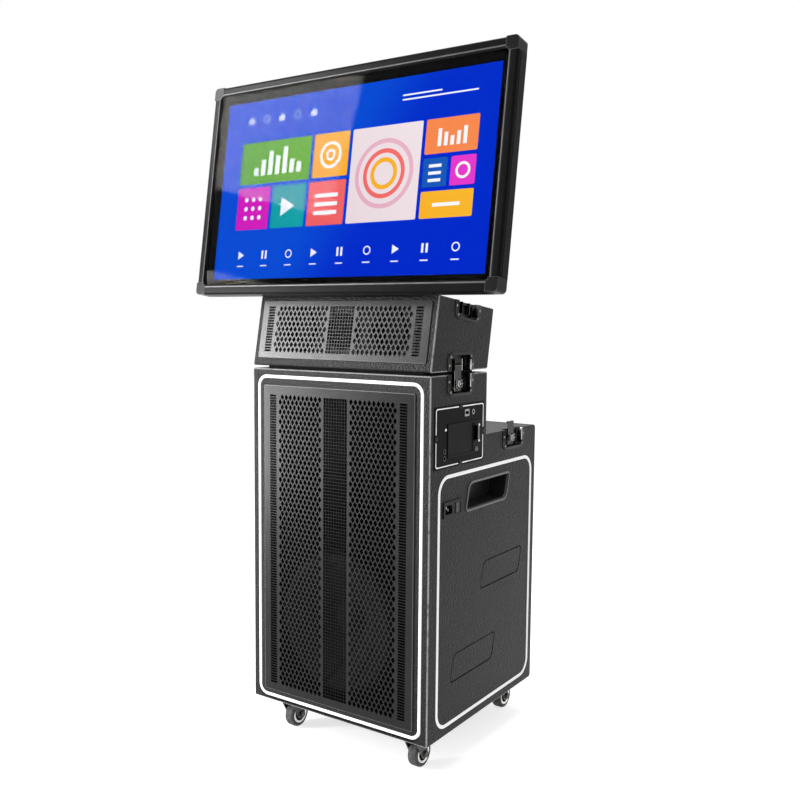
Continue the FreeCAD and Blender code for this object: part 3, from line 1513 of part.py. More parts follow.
def build():
    """Every node of the machine by name."""
    makers = [
        cabinet_shell,
        rear_panel,
        case_screws,
        front_baffle,
        main_grille,
        front_light_strip,
        side_light_strips,
        woofer_basket,
        woofer_cone,
        horn_flare,
        horn_driver,
        amplifier_module,
        power_supply,
        player_chassis,
        control_panel,
        panel_trim,
        panel_sockets,
        power_button,
        disk_tray,
        inlet_housing,
        power_rocker,
        pocket_handles,
        side_covers,
        latch_dishes,
        latch_keepers,
        seam_seal,
        upper_box_shell,
        upper_grille,
        mid_baskets,
        mid_cones,
        upper_tweeter,
        monitor_frame,
        monitor_corners,
        touch_glass,
        lcd_panel,
        monitor_back_cover,
        tilt_plate,
        tilt_pin,
        monitor_stand,
        caster_plates,
    ]
    nodes = {maker.__name__: maker() for maker in makers}
    for name, place in CASTERS.items():
        nodes["caster_fork_" + name] = caster_fork(*place)
        nodes["caster_wheel_" + name] = caster_wheel(*place)
    for name, frame in LATCHES.items():
        wing = at(frame, latch_wing())
        hook = at(frame, latch_hook())
        nodes["latch_wing_" + name + "_right"] = wing
        nodes["latch_wing_" + name + "_left"] = mirrored(wing)
        nodes["latch_hook_" + name + "_right"] = hook
        nodes["latch_hook_" + name + "_left"] = mirrored(hook)
    return nodes


def main():
    os.makedirs("parts", exist_ok=True)
    for name, shape in build().items():
        if not shape.isValid():
            raise ValueError(name + " is not a valid shape")
        shape.exportStep("parts/" + name + ".step")
        print(name, len(shape.Solids), round(shape.Volume / 1000, 1), "cm3")


main()
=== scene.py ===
"""Looks of a mobile karaoke machine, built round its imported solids.

Metres, +Z up, the front towards -Y and the control panel on +X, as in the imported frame.
"""
import json
import math
from functools import reduce

import bmesh
import bpy
from mathutils import Matrix, Vector
from mathutils.geometry import delaunay_2d_cdt

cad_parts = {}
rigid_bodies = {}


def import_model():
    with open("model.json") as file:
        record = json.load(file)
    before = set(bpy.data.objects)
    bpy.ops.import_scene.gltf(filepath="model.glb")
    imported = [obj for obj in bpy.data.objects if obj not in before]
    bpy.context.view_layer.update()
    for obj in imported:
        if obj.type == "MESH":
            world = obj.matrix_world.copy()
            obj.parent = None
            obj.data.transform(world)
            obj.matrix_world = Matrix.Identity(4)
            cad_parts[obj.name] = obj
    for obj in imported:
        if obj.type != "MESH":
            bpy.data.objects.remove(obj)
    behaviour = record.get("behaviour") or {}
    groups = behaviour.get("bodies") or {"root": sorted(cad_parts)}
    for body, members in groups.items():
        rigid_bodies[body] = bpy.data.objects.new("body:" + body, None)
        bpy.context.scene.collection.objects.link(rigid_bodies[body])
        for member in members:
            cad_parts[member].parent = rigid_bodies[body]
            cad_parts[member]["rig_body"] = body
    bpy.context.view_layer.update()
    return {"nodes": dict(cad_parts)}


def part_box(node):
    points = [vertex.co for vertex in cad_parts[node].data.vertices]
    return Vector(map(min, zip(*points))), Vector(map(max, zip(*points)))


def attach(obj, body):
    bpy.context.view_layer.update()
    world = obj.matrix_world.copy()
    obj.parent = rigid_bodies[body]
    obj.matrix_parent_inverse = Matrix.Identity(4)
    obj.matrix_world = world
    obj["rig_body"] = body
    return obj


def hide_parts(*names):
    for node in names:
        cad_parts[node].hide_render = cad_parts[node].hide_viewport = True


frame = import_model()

MM = 0.001
X = Vector((1, 0, 0))
Y = Vector((0, 1, 0))
Z = Vector((0, 0, 1))

# Meshes: points closer than this are one, and the angles at which an edge is rounded, shaded sharp or dissolved
MERGE = 2e-6
ROUND_FROM = math.radians(32)
SHARP_FROM = math.radians(36)
FLAT_BELOW = math.radians(0.5)

# Camera, fitted to the photographed cabinet
CAMERA_AT = Vector((1.1661, -1.70455, 0.9282))
CAMERA_AZIMUTH = math.radians(34.135)
CAMERA_DOWN = math.radians(5.041)
CAMERA_ROLL = math.radians(0.514)
CAMERA_LENS = 41.43
SENSOR = 36.0

# Studio: shares of light from the backdrop and the floor, and each softbox's place, target, width, height
# and watts
AMBIENT = 0.40
FLOOR_LIFT = 0.70
FLOOR_HALF = 30.0
SOFTBOXES = {
    "left_softbox": ((-2.2, -2.15, 0.85), (-0.1, -0.2, 0.7), 0.55, 1.7, 102),
    "high_softbox": ((-2.3, -2.2, 2.65), (0.0, -0.2, 1.3), 0.9, 0.9, 95),
    "right_softbox": ((2.6, -0.4, 1.7), (0.2, 0.0, 0.6), 1.4, 1.8, 4),
    "top_softbox": ((0.0, 0.3, 3.2), (0.0, 0.0, 0.8), 1.8, 1.8, 34),
}

# Slopes and heights that a packed box doesn't show
COLUMN_D = 223 * MM
DECK_Z = 686 * MM
UPPER_LEAN = math.radians(10.6)
UPPER_FRONT_H = 150 * MM
UPPER_REAR_H = 126 * MM
SCREEN_TILT = math.radians(8.3)

# Edges of the boxes, painted paler as rubbed wear and as a painted highlight of their rounded edges: bright up
# to the first distance from an edge, plain from the second
EDGE_WEAR_AND_HIGHLIGHT = (0.8 * MM, 3.4 * MM)

# Perforated sheets
SHEET = 1.5 * MM
GRILLE_CORNER = 3 * MM
DASH_H = 4.2 * MM
DIAMOND_W = 9.4 * MM
DIAMOND_H = 13.0 * MM
DIAMOND_BULGE = 1.12
SQUARE = 6.25 * MM
MAIN_PATTERN = {
    "low": 43 * MM,
    "high": 684 * MM,
    "dash_span": (160.5 * MM, 178.5 * MM),
    "dashes": 111,
    "field": (35 * MM, 155 * MM),
    "diamonds": (10, 61),
    "band": 31 * MM,
    "squares": (9, 92),
}
UPPER_PATTERN = {
    "low": 30 * MM,
    "high": 130 * MM,
    "dash_span": (182 * MM, 200 * MM),
    "dashes": 17,
    "field": (35 * MM, 177 * MM),
    "diamonds": (12, 9),
    "band": 32 * MM,
    "squares": (9, 14),
}
MAIN_PANEL = {"half": 196 * MM, "low": 26 * MM, "high": 704 * MM, "proud": 3 * MM}
UPPER_PANEL = {"half": 217 * MM, "low": 17 * MM, "high": 141.6 * MM, "proud": 2.5 * MM}

# Light strips
STRIP_W = 7 * MM
STRIP_GROOVE = 3 * MM
STRIP_PROUD = 1.6 * MM
FRONT_STRIP_R = 24 * MM
FRONT_STRIP_LIFT = 4.5 * MM
SIDE_STRIP_W = 7.5 * MM
SIDE_STRIP_R = 38 * MM

# Butterfly latches
LATCH_HALF = 52 * MM
LATCH_R = 18 * MM
DISH_H = 44 * MM
KEEPER_H = 38 * MM
WELL_HALF = 38 * MM
WELL_BORDER = 6 * MM
WELL_R = 10 * MM
WELL_DEPTH = 12 * MM
PLATE_T = 1.0 * MM
LATCH_GAP = 0.4 * MM
SEAM = 6 * MM
TOP_KEEPER_BACK = 112 * MM
DECK_LATCH_FROM_BACK = 112 * MM
SPINDLE_DROP = 20 * MM
WING_R = 16 * MM
WING_TIP = 10 * MM
WING_WAIST = 5 * MM
WING_TOP = -2 * MM
WING_T = 2.5 * MM
FIN_T = 1.6 * MM
FIN_TOP = -0.3 * MM
KNOB_R = 7 * MM
RIVET_R = 2.6 * MM
RIVET_H = 1.1 * MM
RIVET_SEAT = 1.2 * MM
HOOK_HALF = 13.4 * MM
KEEPER_RIB_T = 1.6 * MM
KEEPER_RIB_H = 24 * MM
KEEPER_RIB_SUNK = 5 * MM
RIDGE_SPAN = (-6.6 * MM, -1.6 * MM)
RIDGE_SUNK = 8.7 * MM
# Pressing of a latch plate: how far each line lies outside the edge or the well, and its height, in millimetres
FLANGE_STEPS = [(0, 0.1), (0, 0.9), (-0.6, 1.2)]
WELL_STEPS = [(3.4, 1.25), (2.4, 2), (1, 2), (0, 0.9), (-0.1, -3), (-0.4, -9), (-1.6, -11.4), (-3.4, -12)]

# Control panel and tray
TRIM_INSET = 4.6 * MM
TRIM_W = 2.2 * MM
TRIM_T = 0.9 * MM
TRIM_R = 5 * MM
TRIM_BREAK = 16 * MM
HANDLE_REACH = 6 * MM
HANDLE_CAP_R = 2.7 * MM
HANDLE_CAP_FROM_MIDDLE = 16.5 * MM
HANDLE_SPOT = (64 * MM, -1 * MM)
LOCK_SPOT = (64 * MM, -35 * MM)
LOCK_R = 5 * MM
LOCK_PROUD = 1.5 * MM
USB_SPOT = (25.5 * MM, 43 * MM)
USB_HALF = (9.2 * MM, 7.5 * MM)
PORT_ROW_LOW = 20 * MM

# Mains socket, its middle measured from the front edge of its plate
MAINS_SPOT = 19 * MM
MAINS_DEPTH = 20 * MM
BLADE_PITCH = 7 * MM
BLADE_RISE = 2.5 * MM
BLADE_HALF = (1.1 * MM, 2.6 * MM)

# Grips in the sides
GRIP_FROM_BACK = 224 * MM
GRIP_BELOW_DECK = 123 * MM
GRIP_HALF = (95 * MM, 28 * MM)
GRIP_SLANT = 14 * MM
GRIP_R = (6 * MM, 18 * MM, 6 * MM, 18 * MM)
# Section of a grip's rolled lip, outwards and up in millimetres
LIP_SECTION = [(3.1, 0.0), (3.1, 0.9), (2.2, 1.4), (0.4, 1.5), (-1.4, 0.9), (-2.6, -0.6)]
LIP_SECTION += [(-3.0, -2.6), (-3.0, -4.4), (-2.4, -4.6)]

# Screen, and its picture measured from the picture's lower left corner
SCREEN_W = 764 * MM
SCREEN_H = 468 * MM
CORNER_CAP = 27 * MM
PICTURE_W = 687 * MM
PICTURE_H = 392 * MM
PICTURE_SHIFT = (5.5 * MM, -4 * MM)
GLASS_MARGIN = 22.3 * MM
GLASS_FRONT = -3 * MM
GLASS_BACK = -7 * MM
PRINT_FRONT = -7.05 * MM
PRINT_BACK = -7.35 * MM
PRINT_MARGIN = 22.523 * MM
PANEL_FRONT = -7.9 * MM
PANEL_BACK = -21 * MM
LIT_INSET = 7.5 * MM
LAYER = 0.14 * MM
PICTURE_MIDDLE_Z = 1.2

# Colours of the picture, from its lower left to its upper right
PICTURE_COLOURS = {
    "green": ((70, 150, 8), (120, 196, 20)),
    "amber": ((246, 160, 20), (252, 186, 48)),
    "coral": ((236, 82, 96), (248, 120, 110)),
    "orange": ((240, 110, 60), (250, 140, 80)),
    "magenta": ((206, 24, 186), (232, 60, 206)),
    "teal": ((8, 150, 160), (30, 190, 190)),
    "navy": ((10, 60, 150), (24, 92, 190)),
    "pale": ((226, 206, 214), (244, 232, 236)),
    "rose": ((222, 160, 186), (236, 186, 204)),
    "white": ((232, 238, 250), (250, 252, 255)),
}
# Tiles of the picture: left, foot, width and height in millimetres, and colour
TILES = [
    (52, 208, 196, 92, "green"),
    (256, 208, 92, 92, "amber"),
    (52, 108, 92, 92, "magenta"),
    (152, 108, 92, 92, "teal"),
    (252, 108, 96, 92, "coral"),
    (356, 108, 168, 192, "pale"),
    (532, 232, 116, 68, "orange"),
    (532, 168, 54, 56, "navy"),
    (594, 168, 54, 56, "magenta"),
    (532, 108, 116, 52, "amber"),
]

# Section of a light strip or trim line, as shares of its width and height
STRIP_SECTION = [(-0.5, 0.0), (-0.5, 0.62), (-0.42, 0.84), (-0.26, 0.97), (0.0, 1.0)]
STRIP_SECTION += [(-share, rise) for share, rise in reversed(STRIP_SECTION[:-1])]

scene = bpy.context.scene
nodes = frame["nodes"]
cabinet_low, cabinet_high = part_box("cabinet_shell")
upper_low, upper_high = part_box("upper_box_shell")
SIDE_X = cabinet_high.x
FRONT_Y = cabinet_low.y
BACK_Y = cabinet_high.y
BASE_Z = cabinet_low.z
COLUMN_TOP_Z = cabinet_high.z
COLUMN_BACK_Y = FRONT_Y + COLUMN_D
UPPER_Z = upper_low.z


def facing(origin, across, up):
    """Matrix from a face's own frame (u across, v up, w out of it) to the machine's frame."""
    matrix = Matrix((across, up, across.cross(up))).transposed().to_4x4()
    matrix.translation = origin
    return matrix


def leaning(angle):
    """Unit vector that points up and leans back by the angle."""
    return Vector((0, math.sin(angle), math.cos(angle)))


def screen_foot():
    """Lower edge of the screen's front plane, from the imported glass."""
    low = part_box("touch_glass")[0]
    up = leaning(SCREEN_TILT)
    out = X.cross(up)
    y = low.y - GLASS_MARGIN * up.y - GLASS_FRONT * out.y
    z = low.z - GLASS_MARGIN * up.z - GLASS_BACK * out.z
    return Vector((0, y, z))


FRONT = facing(Vector((0, FRONT_Y, BASE_Z)), X, Z)
RIGHT = facing(Vector((SIDE_X, FRONT_Y, BASE_Z)), Y, Z)
UPPER_FRONT = facing(Vector((0, FRONT_Y, UPPER_Z)), X, leaning(UPPER_LEAN))
SCREEN = facing(screen_foot(), X, leaning(SCREEN_TILT))
MIRROR = Matrix.Scale(-1, 4, X)
SIDES = {"right": Matrix(), "left": MIRROR}
MILLIMETRES = Matrix.Scale(MM, 4)
UPPER_FRONT_TOP = Vector((0, FRONT_Y + UPPER_FRONT_H * math.tan(UPPER_LEAN), UPPER_Z + UPPER_FRONT_H))
UPPER_REAR_TOP = Vector((0, COLUMN_BACK_Y + UPPER_REAR_H * math.tan(UPPER_LEAN), UPPER_Z + UPPER_REAR_H))
TOP_BACK = (UPPER_REAR_TOP - UPPER_FRONT_TOP).normalized()
TOP_UP = X.cross(TOP_BACK)
LATCHES = {
    "join": facing(Vector((SIDE_X, FRONT_Y + COLUMN_D / 2, COLUMN_TOP_Z)), Y, Z),
    "deck": facing(Vector((SIDE_X, BACK_Y - DECK_LATCH_FROM_BACK, DECK_Z)), Y, Z),
}
OVER_SEAM = Matrix.Translation((0, SEAM, 0)) @ Matrix.Rotation(math.pi, 4, "Z")
KEEPERS = {
    "join": LATCHES["join"] @ OVER_SEAM,
    "top": facing(UPPER_FRONT_TOP + X * SIDE_X + TOP_BACK * TOP_KEEPER_BACK, TOP_BACK, TOP_UP),
}


class Signal:
    """One output of a node, used in plain arithmetic: an expression adds its Math nodes."""

    def __init__(self, finish, socket):
        self.finish = finish
        self.socket = socket

    def beside(self, *names):
        """Outputs of the same node."""
        outputs = self.socket.node.outputs
        return [Signal(self.finish, outputs[name]) for name in names]

    def maths(self, operation, *terms):
        return self.finish.node("ShaderNodeMath", {"operation": operation}, terms)

    def __add__(self, other):
        return self.maths("ADD", self, other)

    def __sub__(self, other):
        return self.maths("SUBTRACT", self, other)

    def __rsub__(self, other):
        return self.maths("SUBTRACT", other, self)

    def __mul__(self, other):
        return self.maths("MULTIPLY", self, other)

    def __pow__(self, other):
        return self.maths("POWER", self, other)

    def __abs__(self):
        return self.maths("ABSOLUTE", self)

    def most(self, other):
        return self.maths("MAXIMUM", self, other)

    def least(self, other):
        return self.maths("MINIMUM", self, other)

    __radd__ = __add__
    __rmul__ = __mul__


class Finish:
    """The nodes of one material, or of the world, and the shader that they feed."""

    def __init__(self, owner, shader, constants=()):
        owner.use_nodes = True
        self.owner = owner
        self.tree = owner.node_tree
        self.shader = self.tree.nodes[shader]
        for socket, value in dict(constants).items():
            self.shader.inputs[socket].default_value = value

    def node(self, kind, settings=(), inputs=(), output=0):
        """Add a node: its settings first, then the values or links of its sockets."""
        made = self.tree.nodes.new(kind)
        for key, value in dict(settings).items():
            setattr(made, key, value)
        pairs = inputs.items() if isinstance(inputs, dict) else enumerate(inputs)
        for key, value in pairs:
            self.feed(made.inputs[key], value)
        return Signal(self, made.outputs[output])

    def feed(self, socket, value):
        if isinstance(value, Signal):
            self.tree.links.new(value.socket, socket)
        else:
            socket.default_value = value

    def paint(self, sockets):
        for name, value in sockets.items():
            self.feed(self.shader.inputs[name], value)
        return self.owner

    def coat(self, colour, rough, normal):
        return self.paint({"Base Color": colour, "Roughness": rough, "Normal": normal})

    def place(self, stretch=None):
        """Position in the machine's frame, stretched along its axes where a finish has a direction."""
        here = self.node("ShaderNodeTexCoord", output="Object")
        if stretch:
            here = self.node("ShaderNodeVectorMath", {"operation": "MULTIPLY"}, [here, stretch])
        return here

    def axes(self):
        """The three coordinates of the position."""
        return self.node("ShaderNodeSeparateXYZ", inputs=[self.place()]).beside(0, 1, 2)

    def grain(self, scale, detail=2.0, stretch=None):
        inputs = {"Vector": self.place(stretch), "Scale": scale, "Detail": detail}
        return self.node("ShaderNodeTexNoise", inputs=inputs)

    def pebbles(self, scale):
        inputs = {"Vector": self.place(), "Scale": scale, "Smoothness": 0.7}
        return self.node("ShaderNodeTexVoronoi", {"feature": "SMOOTH_F1"}, inputs)

    def spread(self, value, low, high):
        """Smooth step of a value from low to high."""
        return self.node("ShaderNodeMapRange", {"interpolation_type": "SMOOTHSTEP"}, [value, low, high])

    def blend(self, factor, first, second):
        """Colour between two colours, where a plain number is a grey."""
        first, second = [grey(end) if isinstance(end, float) else end for end in (first, second)]
        return self.node("ShaderNodeMix", {"data_type": "RGBA"}, {0: factor, 6: first, 7: second}, 2)

    def bump(self, height, depth, strength):
        inputs = {"Strength": strength, "Distance": depth, "Height": height}
        return self.node("ShaderNodeBump", inputs=inputs)


GLOSS = "Specular IOR Level"
LIT = {"Base Color": (0, 0, 0, 1), GLOSS: 0.0, "Emission Strength": 1.0, "Roughness": 0.8}


def material(name, constants=()):
    return Finish(bpy.data.materials.new(name), "Principled BSDF", constants)


def grey(tone):
    return (tone, tone, tone, 1.0)


def shade(red, green, blue):
    """Colour from the 0 to 255 scale of a screen."""
    def channel(value):
        share = value / 255
        return share / 12.92 if share <= 0.04045 else ((share + 0.055) / 1.055) ** 2.4
    return (channel(red), channel(green), channel(blue), 1.0)


def rubbed_and_highlit_edges(finish):
    """Mask along the long outer edges of the two boxes, where hands and straps rub and where a painted
    highlight stands for the light on their rounded edges.
    """
    x, y, z = finish.axes()
    side = abs(x) - SIDE_X
    front, back = y - FRONT_Y, y - BACK_Y
    foot, top, upper_foot = z - BASE_Z, z - COLUMN_TOP_Z, z - UPPER_Z
    slope = front - upper_foot * math.tan(UPPER_LEAN)
    edges = [(side, front), (side, back), (side, top), (front, top), (back, z - DECK_Z)]
    edges += [(side, slope), (side, upper_foot), (front, foot), (side, foot)]
    gaps = [(first * first + second * second) ** 0.5 for first, second in edges]
    return 1 - finish.spread(reduce(Signal.least, gaps), *EDGE_WEAR_AND_HIGHLIGHT)


def pebbled_coating():
    """Thick black textured paint of the boxes, with edges painted paler as rubbed wear and as a painted
    highlight.
    """
    paint = material("pebbled_coating", {GLOSS: 0.135})
    pebble = paint.pebbles(290)
    fine = paint.grain(900)
    cloud = paint.grain(7, 4)
    # Paler edges: patchy rubbed wear, and a painted highlight of the rounded edges
    brightened = rubbed_and_highlit_edges(paint) * paint.spread(paint.grain(55, 5), 0.15, 0.50)
    dust = paint.spread(pebble, 0.25, 0.75) * 0.5 + cloud * 0.5
    return paint.coat(
        paint.blend(brightened, paint.blend(dust, 0.003, 0.016), 0.55),
        0.26 + cloud * 0.12 + fine * 0.08 - brightened * 0.06,
        paint.bump(fine * 0.3 - pebble, 1.6 * MM, 0.75),
    )


def powder_coat(name, tone, rough, gloss):
    """Fine matt paint on sheet steel."""
    paint = material(name, {GLOSS: gloss})
    speck = paint.grain(1900)
    cloud = paint.grain(9, 3)
    return paint.coat(
        paint.blend(cloud, tone * 0.75, tone * 1.3),
        rough - 0.06 + cloud * 0.08 + speck * 0.06,
        paint.bump(speck, 0.12 * MM, 0.5),
    )


def moulded_plastic(name, tone, rough, depth=0.08 * MM, gloss=0.18):
    """Injection-moulded plastic with a fine spark grain."""
    plastic = material(name, {GLOSS: gloss})
    spark = plastic.grain(2400, 3)
    scuff = plastic.spread(plastic.grain(1.0, 4, (40, 400, 60)), 0.60, 0.75)
    base = plastic.blend(plastic.grain(16, 3), tone * 0.8, tone * 1.25)
    return plastic.coat(
        plastic.blend(scuff * 0.25, base, min(1.0, tone + 0.05)),
        rough - 0.05 + spark * 0.10 + scuff * 0.06,
        plastic.bump(spark, depth, 0.45),
    )


def bright_metal(name, colour, rough, stretch=(500, 30, 500)):
    """Plated metal with hairline polishing marks."""
    metal = material(name, {"Metallic": 1.0})
    lines = metal.grain(4.0, 3, stretch)
    stain = metal.grain(45, 4)
    dark = tuple(c * 0.72 for c in colour[:3]) + (1.0,)
    return metal.coat(
        metal.blend(metal.spread(stain, 0.35, 0.75), colour, dark),
        rough + lines * 0.10 + stain * 0.06,
        metal.bump(lines, 0.03 * MM, 0.3),
    )


def anodised_frame():
    """Black anodised aluminium with the drawing marks of the extrusion."""
    metal = material("anodised_frame", {GLOSS: 0.040})
    drawn = metal.grain(1.0, 3, (3, 900, 900))
    cloud = metal.grain(12, 3)
    return metal.coat(
        metal.blend(cloud, 0.003, 0.007),
        0.20 + drawn * 0.12 + cloud * 0.05,
        metal.bump(drawn, 0.04 * MM, 0.35),
    )


def milky_diffuser():
    """White light guide, evenly lit from behind."""
    guide = material("milky_diffuser", {"Emission Strength": 1.0})
    mottle = guide.grain(260, 3)
    guide.paint({"Emission Color": guide.blend(guide.grain(14), 0.34, 0.42)})
    return guide.coat(
        guide.blend(mottle, 0.72, 0.80), 0.30 + mottle * 0.15, guide.bump(mottle, 0.05 * MM, 0.3)
    )


def polished_glass():
    """Clear glass with faint smears."""
    constants = {"Base Color": grey(0.98), "Transmission Weight": 1.0, "IOR": 1.07, GLOSS: 0.5}
    glass = material("polished_glass", constants)
    smear = glass.spread(glass.grain(18, 4), 0.55, 0.8)
    return glass.paint({"Roughness": 0.004 + smear * 0.012})


def black_print():
    """Black border printed on the back of the glass."""
    ink = material("black_print", {GLOSS: 0.0})
    fleck = ink.grain(900)
    return ink.paint({"Base Color": ink.blend(fleck, 0.001, 0.003), "Roughness": 0.5 + fleck * 0.1})


def lit_colour(name, low, high):
    """Part of the lit picture: a colour that shifts from the lower left to the upper right."""
    ink = material(name, LIT)
    x, _, z = ink.axes()
    ramp = ink.spread(x + (z - PICTURE_MIDDLE_Z) * 0.6, -0.42, 0.42)
    haze = ink.grain(4) * 0.12 - 0.06
    return ink.paint({"Emission Color": ink.blend(ramp + haze, shade(*low), shade(*high))})


def lit_background():
    """Deep blue of the picture, lighter on one side of a slanting line and towards the top: a painted
    reflection of the glare on the glass.
    """
    ink = material("picture_background", LIT)
    x, _, z = ink.axes()
    # Lighter left of the slanting line and near the top: painted glare
    glare_slant = ink.spread(x - (z - PICTURE_MIDDLE_Z) * 0.55, -0.08, 0.14)
    glare_top = ink.spread(z, 1.0, 1.42) * 0.10
    return ink.paint({"Emission Color": ink.blend(glare_slant - glare_top, shade(2, 74, 214), shade(0, 40, 205))})


def speaker_pulp():
    """Pressed paper pulp of the cones."""
    pulp = material("speaker_pulp", {GLOSS: 0.1})
    fibre = pulp.grain(700, 5)
    return pulp.coat(
        pulp.blend(fibre, 0.004, 0.012), 0.75 + pulp.grain(60) * 0.2, pulp.bump(fibre, 0.3 * MM, 0.6)
    )


def bare_board():
    """Black-painted chipboard, darker still and without gloss as painted shade of the cabinet's inside that
    shows through the holes.
    """
    board = material("board_dark_as_shade", {GLOSS: 0.0})
    chip = board.pebbles(180)
    fibre = board.grain(500, 4)
    return board.coat(
        board.blend(chip, 0.001, (0.004, 0.0035, 0.003, 1)),
        0.8 + fibre * 0.15,
        board.bump(chip + fibre * 0.3, 0.2 * MM, 0.5),
    )


def wound_copper():
    """Varnished winding of the transformer."""
    wire = material("varnished_winding", {"Metallic": 0.6})
    turns = wire.grain(1.0, 2, (1200, 1200, 30))
    colour = wire.blend(turns, (0.16, 0.07, 0.02, 1), (0.42, 0.20, 0.07, 1))
    return wire.coat(colour, 0.35 + turns * 0.2, wire.bump(turns, 0.3 * MM, 0.7))


def tread_rubber():
    """Dark grey wheel tread with scuffs and dust."""
    rubber = material("tread_rubber")
    dust = rubber.grain(120, 5)
    return rubber.coat(
        rubber.blend(rubber.spread(dust, 0.4, 0.7), 0.03, 0.09),
        0.55 + dust * 0.25,
        rubber.bump(rubber.grain(1600) + dust * 0.5, 0.12 * MM, 0.5),
    )


COATING = pebbled_coating()
GRILLE_PAINT = powder_coat("grille_paint", 0.010, 0.25, 0.14)
# The upper sheet's paint is a paler, glossier copy of the grille paint: painted light on the upper panel
UPPER_GRILLE_LIT_PAINT = powder_coat("upper_grille_lit_paint", 0.016, 0.27, 0.37)
# Paler, glossier paint of the rounded grille folds: a painted highlight
FOLD_HIGHLIGHT_PAINT = powder_coat("fold_highlight_paint", 0.07, 0.30, 0.40)
PANEL_PAINT = powder_coat("panel_paint", 0.003, 0.42, 0.05)
STAND_PAINT = powder_coat("stand_paint", 0.014, 0.36, 0.30)
COVER_PAINT = powder_coat("cover_paint", 0.010, 0.42, 0.24)
SPEAKER_PAINT = powder_coat("speaker_paint", 0.002, 0.6, 0.02)
CASTER_ZINC = bright_metal("black_zinc", grey(0.10), 0.36)
DARK_PLASTIC = moulded_plastic("dark_plastic", 0.006, 0.42)
CUP_PLASTIC = moulded_plastic("cup_plastic", 0.018, 0.38)
# Paler lip plastic than the cup's: a painted highlight on the rolled lip
LIP_HIGHLIGHT_PLASTIC = moulded_plastic("grip_lip_highlight_plastic", 0.10, 0.32, 0.05 * MM, 0.6)
TRAY_PLASTIC = moulded_plastic("tray_plastic", 0.004, 0.34, 0.04 * MM, 0.06)
PALE_PLASTIC = moulded_plastic("pale_plastic", 0.55, 0.40)
GLOSS_PLASTIC = moulded_plastic("gloss_plastic", 0.004, 0.22, 0.03 * MM)
CAP_PLASTIC = moulded_plastic("corner_cap_plastic", 0.004, 0.30, 0.04 * MM, 0.09)
HORN_PLASTIC = moulded_plastic("horn_plastic", 0.002, 0.7, 0.08 * MM, 0.0)
LATCH_BLACK = bright_metal("black_chrome", grey(0.022), 0.26)
HOOK_STEEL = bright_metal("hook_steel", grey(0.05), 0.22)
HANDLE_STEEL = bright_metal("handle_steel", grey(0.26), 0.26)
RIVET_STEEL = bright_metal("rivet_steel", grey(0.26), 0.30)
DIM_STEEL = bright_metal("dim_steel", grey(0.10), 0.34)
# Paler metal on the frame's crest and the caps' edges: a painted highlight
FRAME_EDGE_HIGHLIGHT = bright_metal("frame_edge_highlight", grey(0.065), 0.30, (3, 900, 900))
NICKEL = bright_metal("nickel_plate", (0.78, 0.77, 0.74, 1), 0.16)
TRIM_SILVER = bright_metal("trim_silver", (0.93, 0.93, 0.93, 1), 0.22)
SCREW_ZINC = bright_metal("screw_zinc", (0.42, 0.42, 0.43, 1), 0.30)
PLAIN_SHEET = bright_metal("plain_sheet_metal", (0.55, 0.56, 0.57, 1), 0.38, (60, 800, 800))
FRAME_METAL = anodised_frame()
DIFFUSER = milky_diffuser()
GLASS = polished_glass()
BORDER_INK = black_print()
PULP = speaker_pulp()
BOARD = bare_board()
WINDING = wound_copper()
TREAD = tread_rubber()
SEAL_RUBBER = moulded_plastic("seal_rubber", 0.010, 0.75)


def rounded(corners, radius, steps=6):
    """Closed outline through the corners, each rounded by an arc of its radius."""
    count = len(corners)
    radii = radius if isinstance(radius, (list, tuple)) else [radius] * count
    points = []
    for i in range(count):
        here = Vector(corners[i])
        if radii[i] <= 0:
            points.append(here)
            continue
        back = (Vector(corners[i - 1]) - here).normalized()
        ahead = (Vector(corners[(i + 1) % count]) - here).normalized()
        half = back.angle(ahead) / 2
        centre = here + (back + ahead).normalized() * (radii[i] / math.sin(half))
        start = here + back * (radii[i] / math.tan(half)) - centre
        turn = math.copysign(math.pi - 2 * half, back.x * ahead.y - back.y * ahead.x)
        points += [centre + Matrix.Rotation(-turn * k / steps, 2) @ start for k in range(steps + 1)]
    return points


def rectangle(u0, u1, v0, v1, radius=0.0, steps=6):
    return rounded([(u0, v0), (u1, v0), (u1, v1), (u0, v1)], radius, steps)


def circle(u, v, radius, steps=32):
    turns = [2 * math.pi * k / steps for k in range(steps)]
    return [Vector((u + radius * math.cos(a), v + radius * math.sin(a))) for a in turns]


def level(outline, w):
    return [Vector((p[0], p[1], w)) for p in outline]


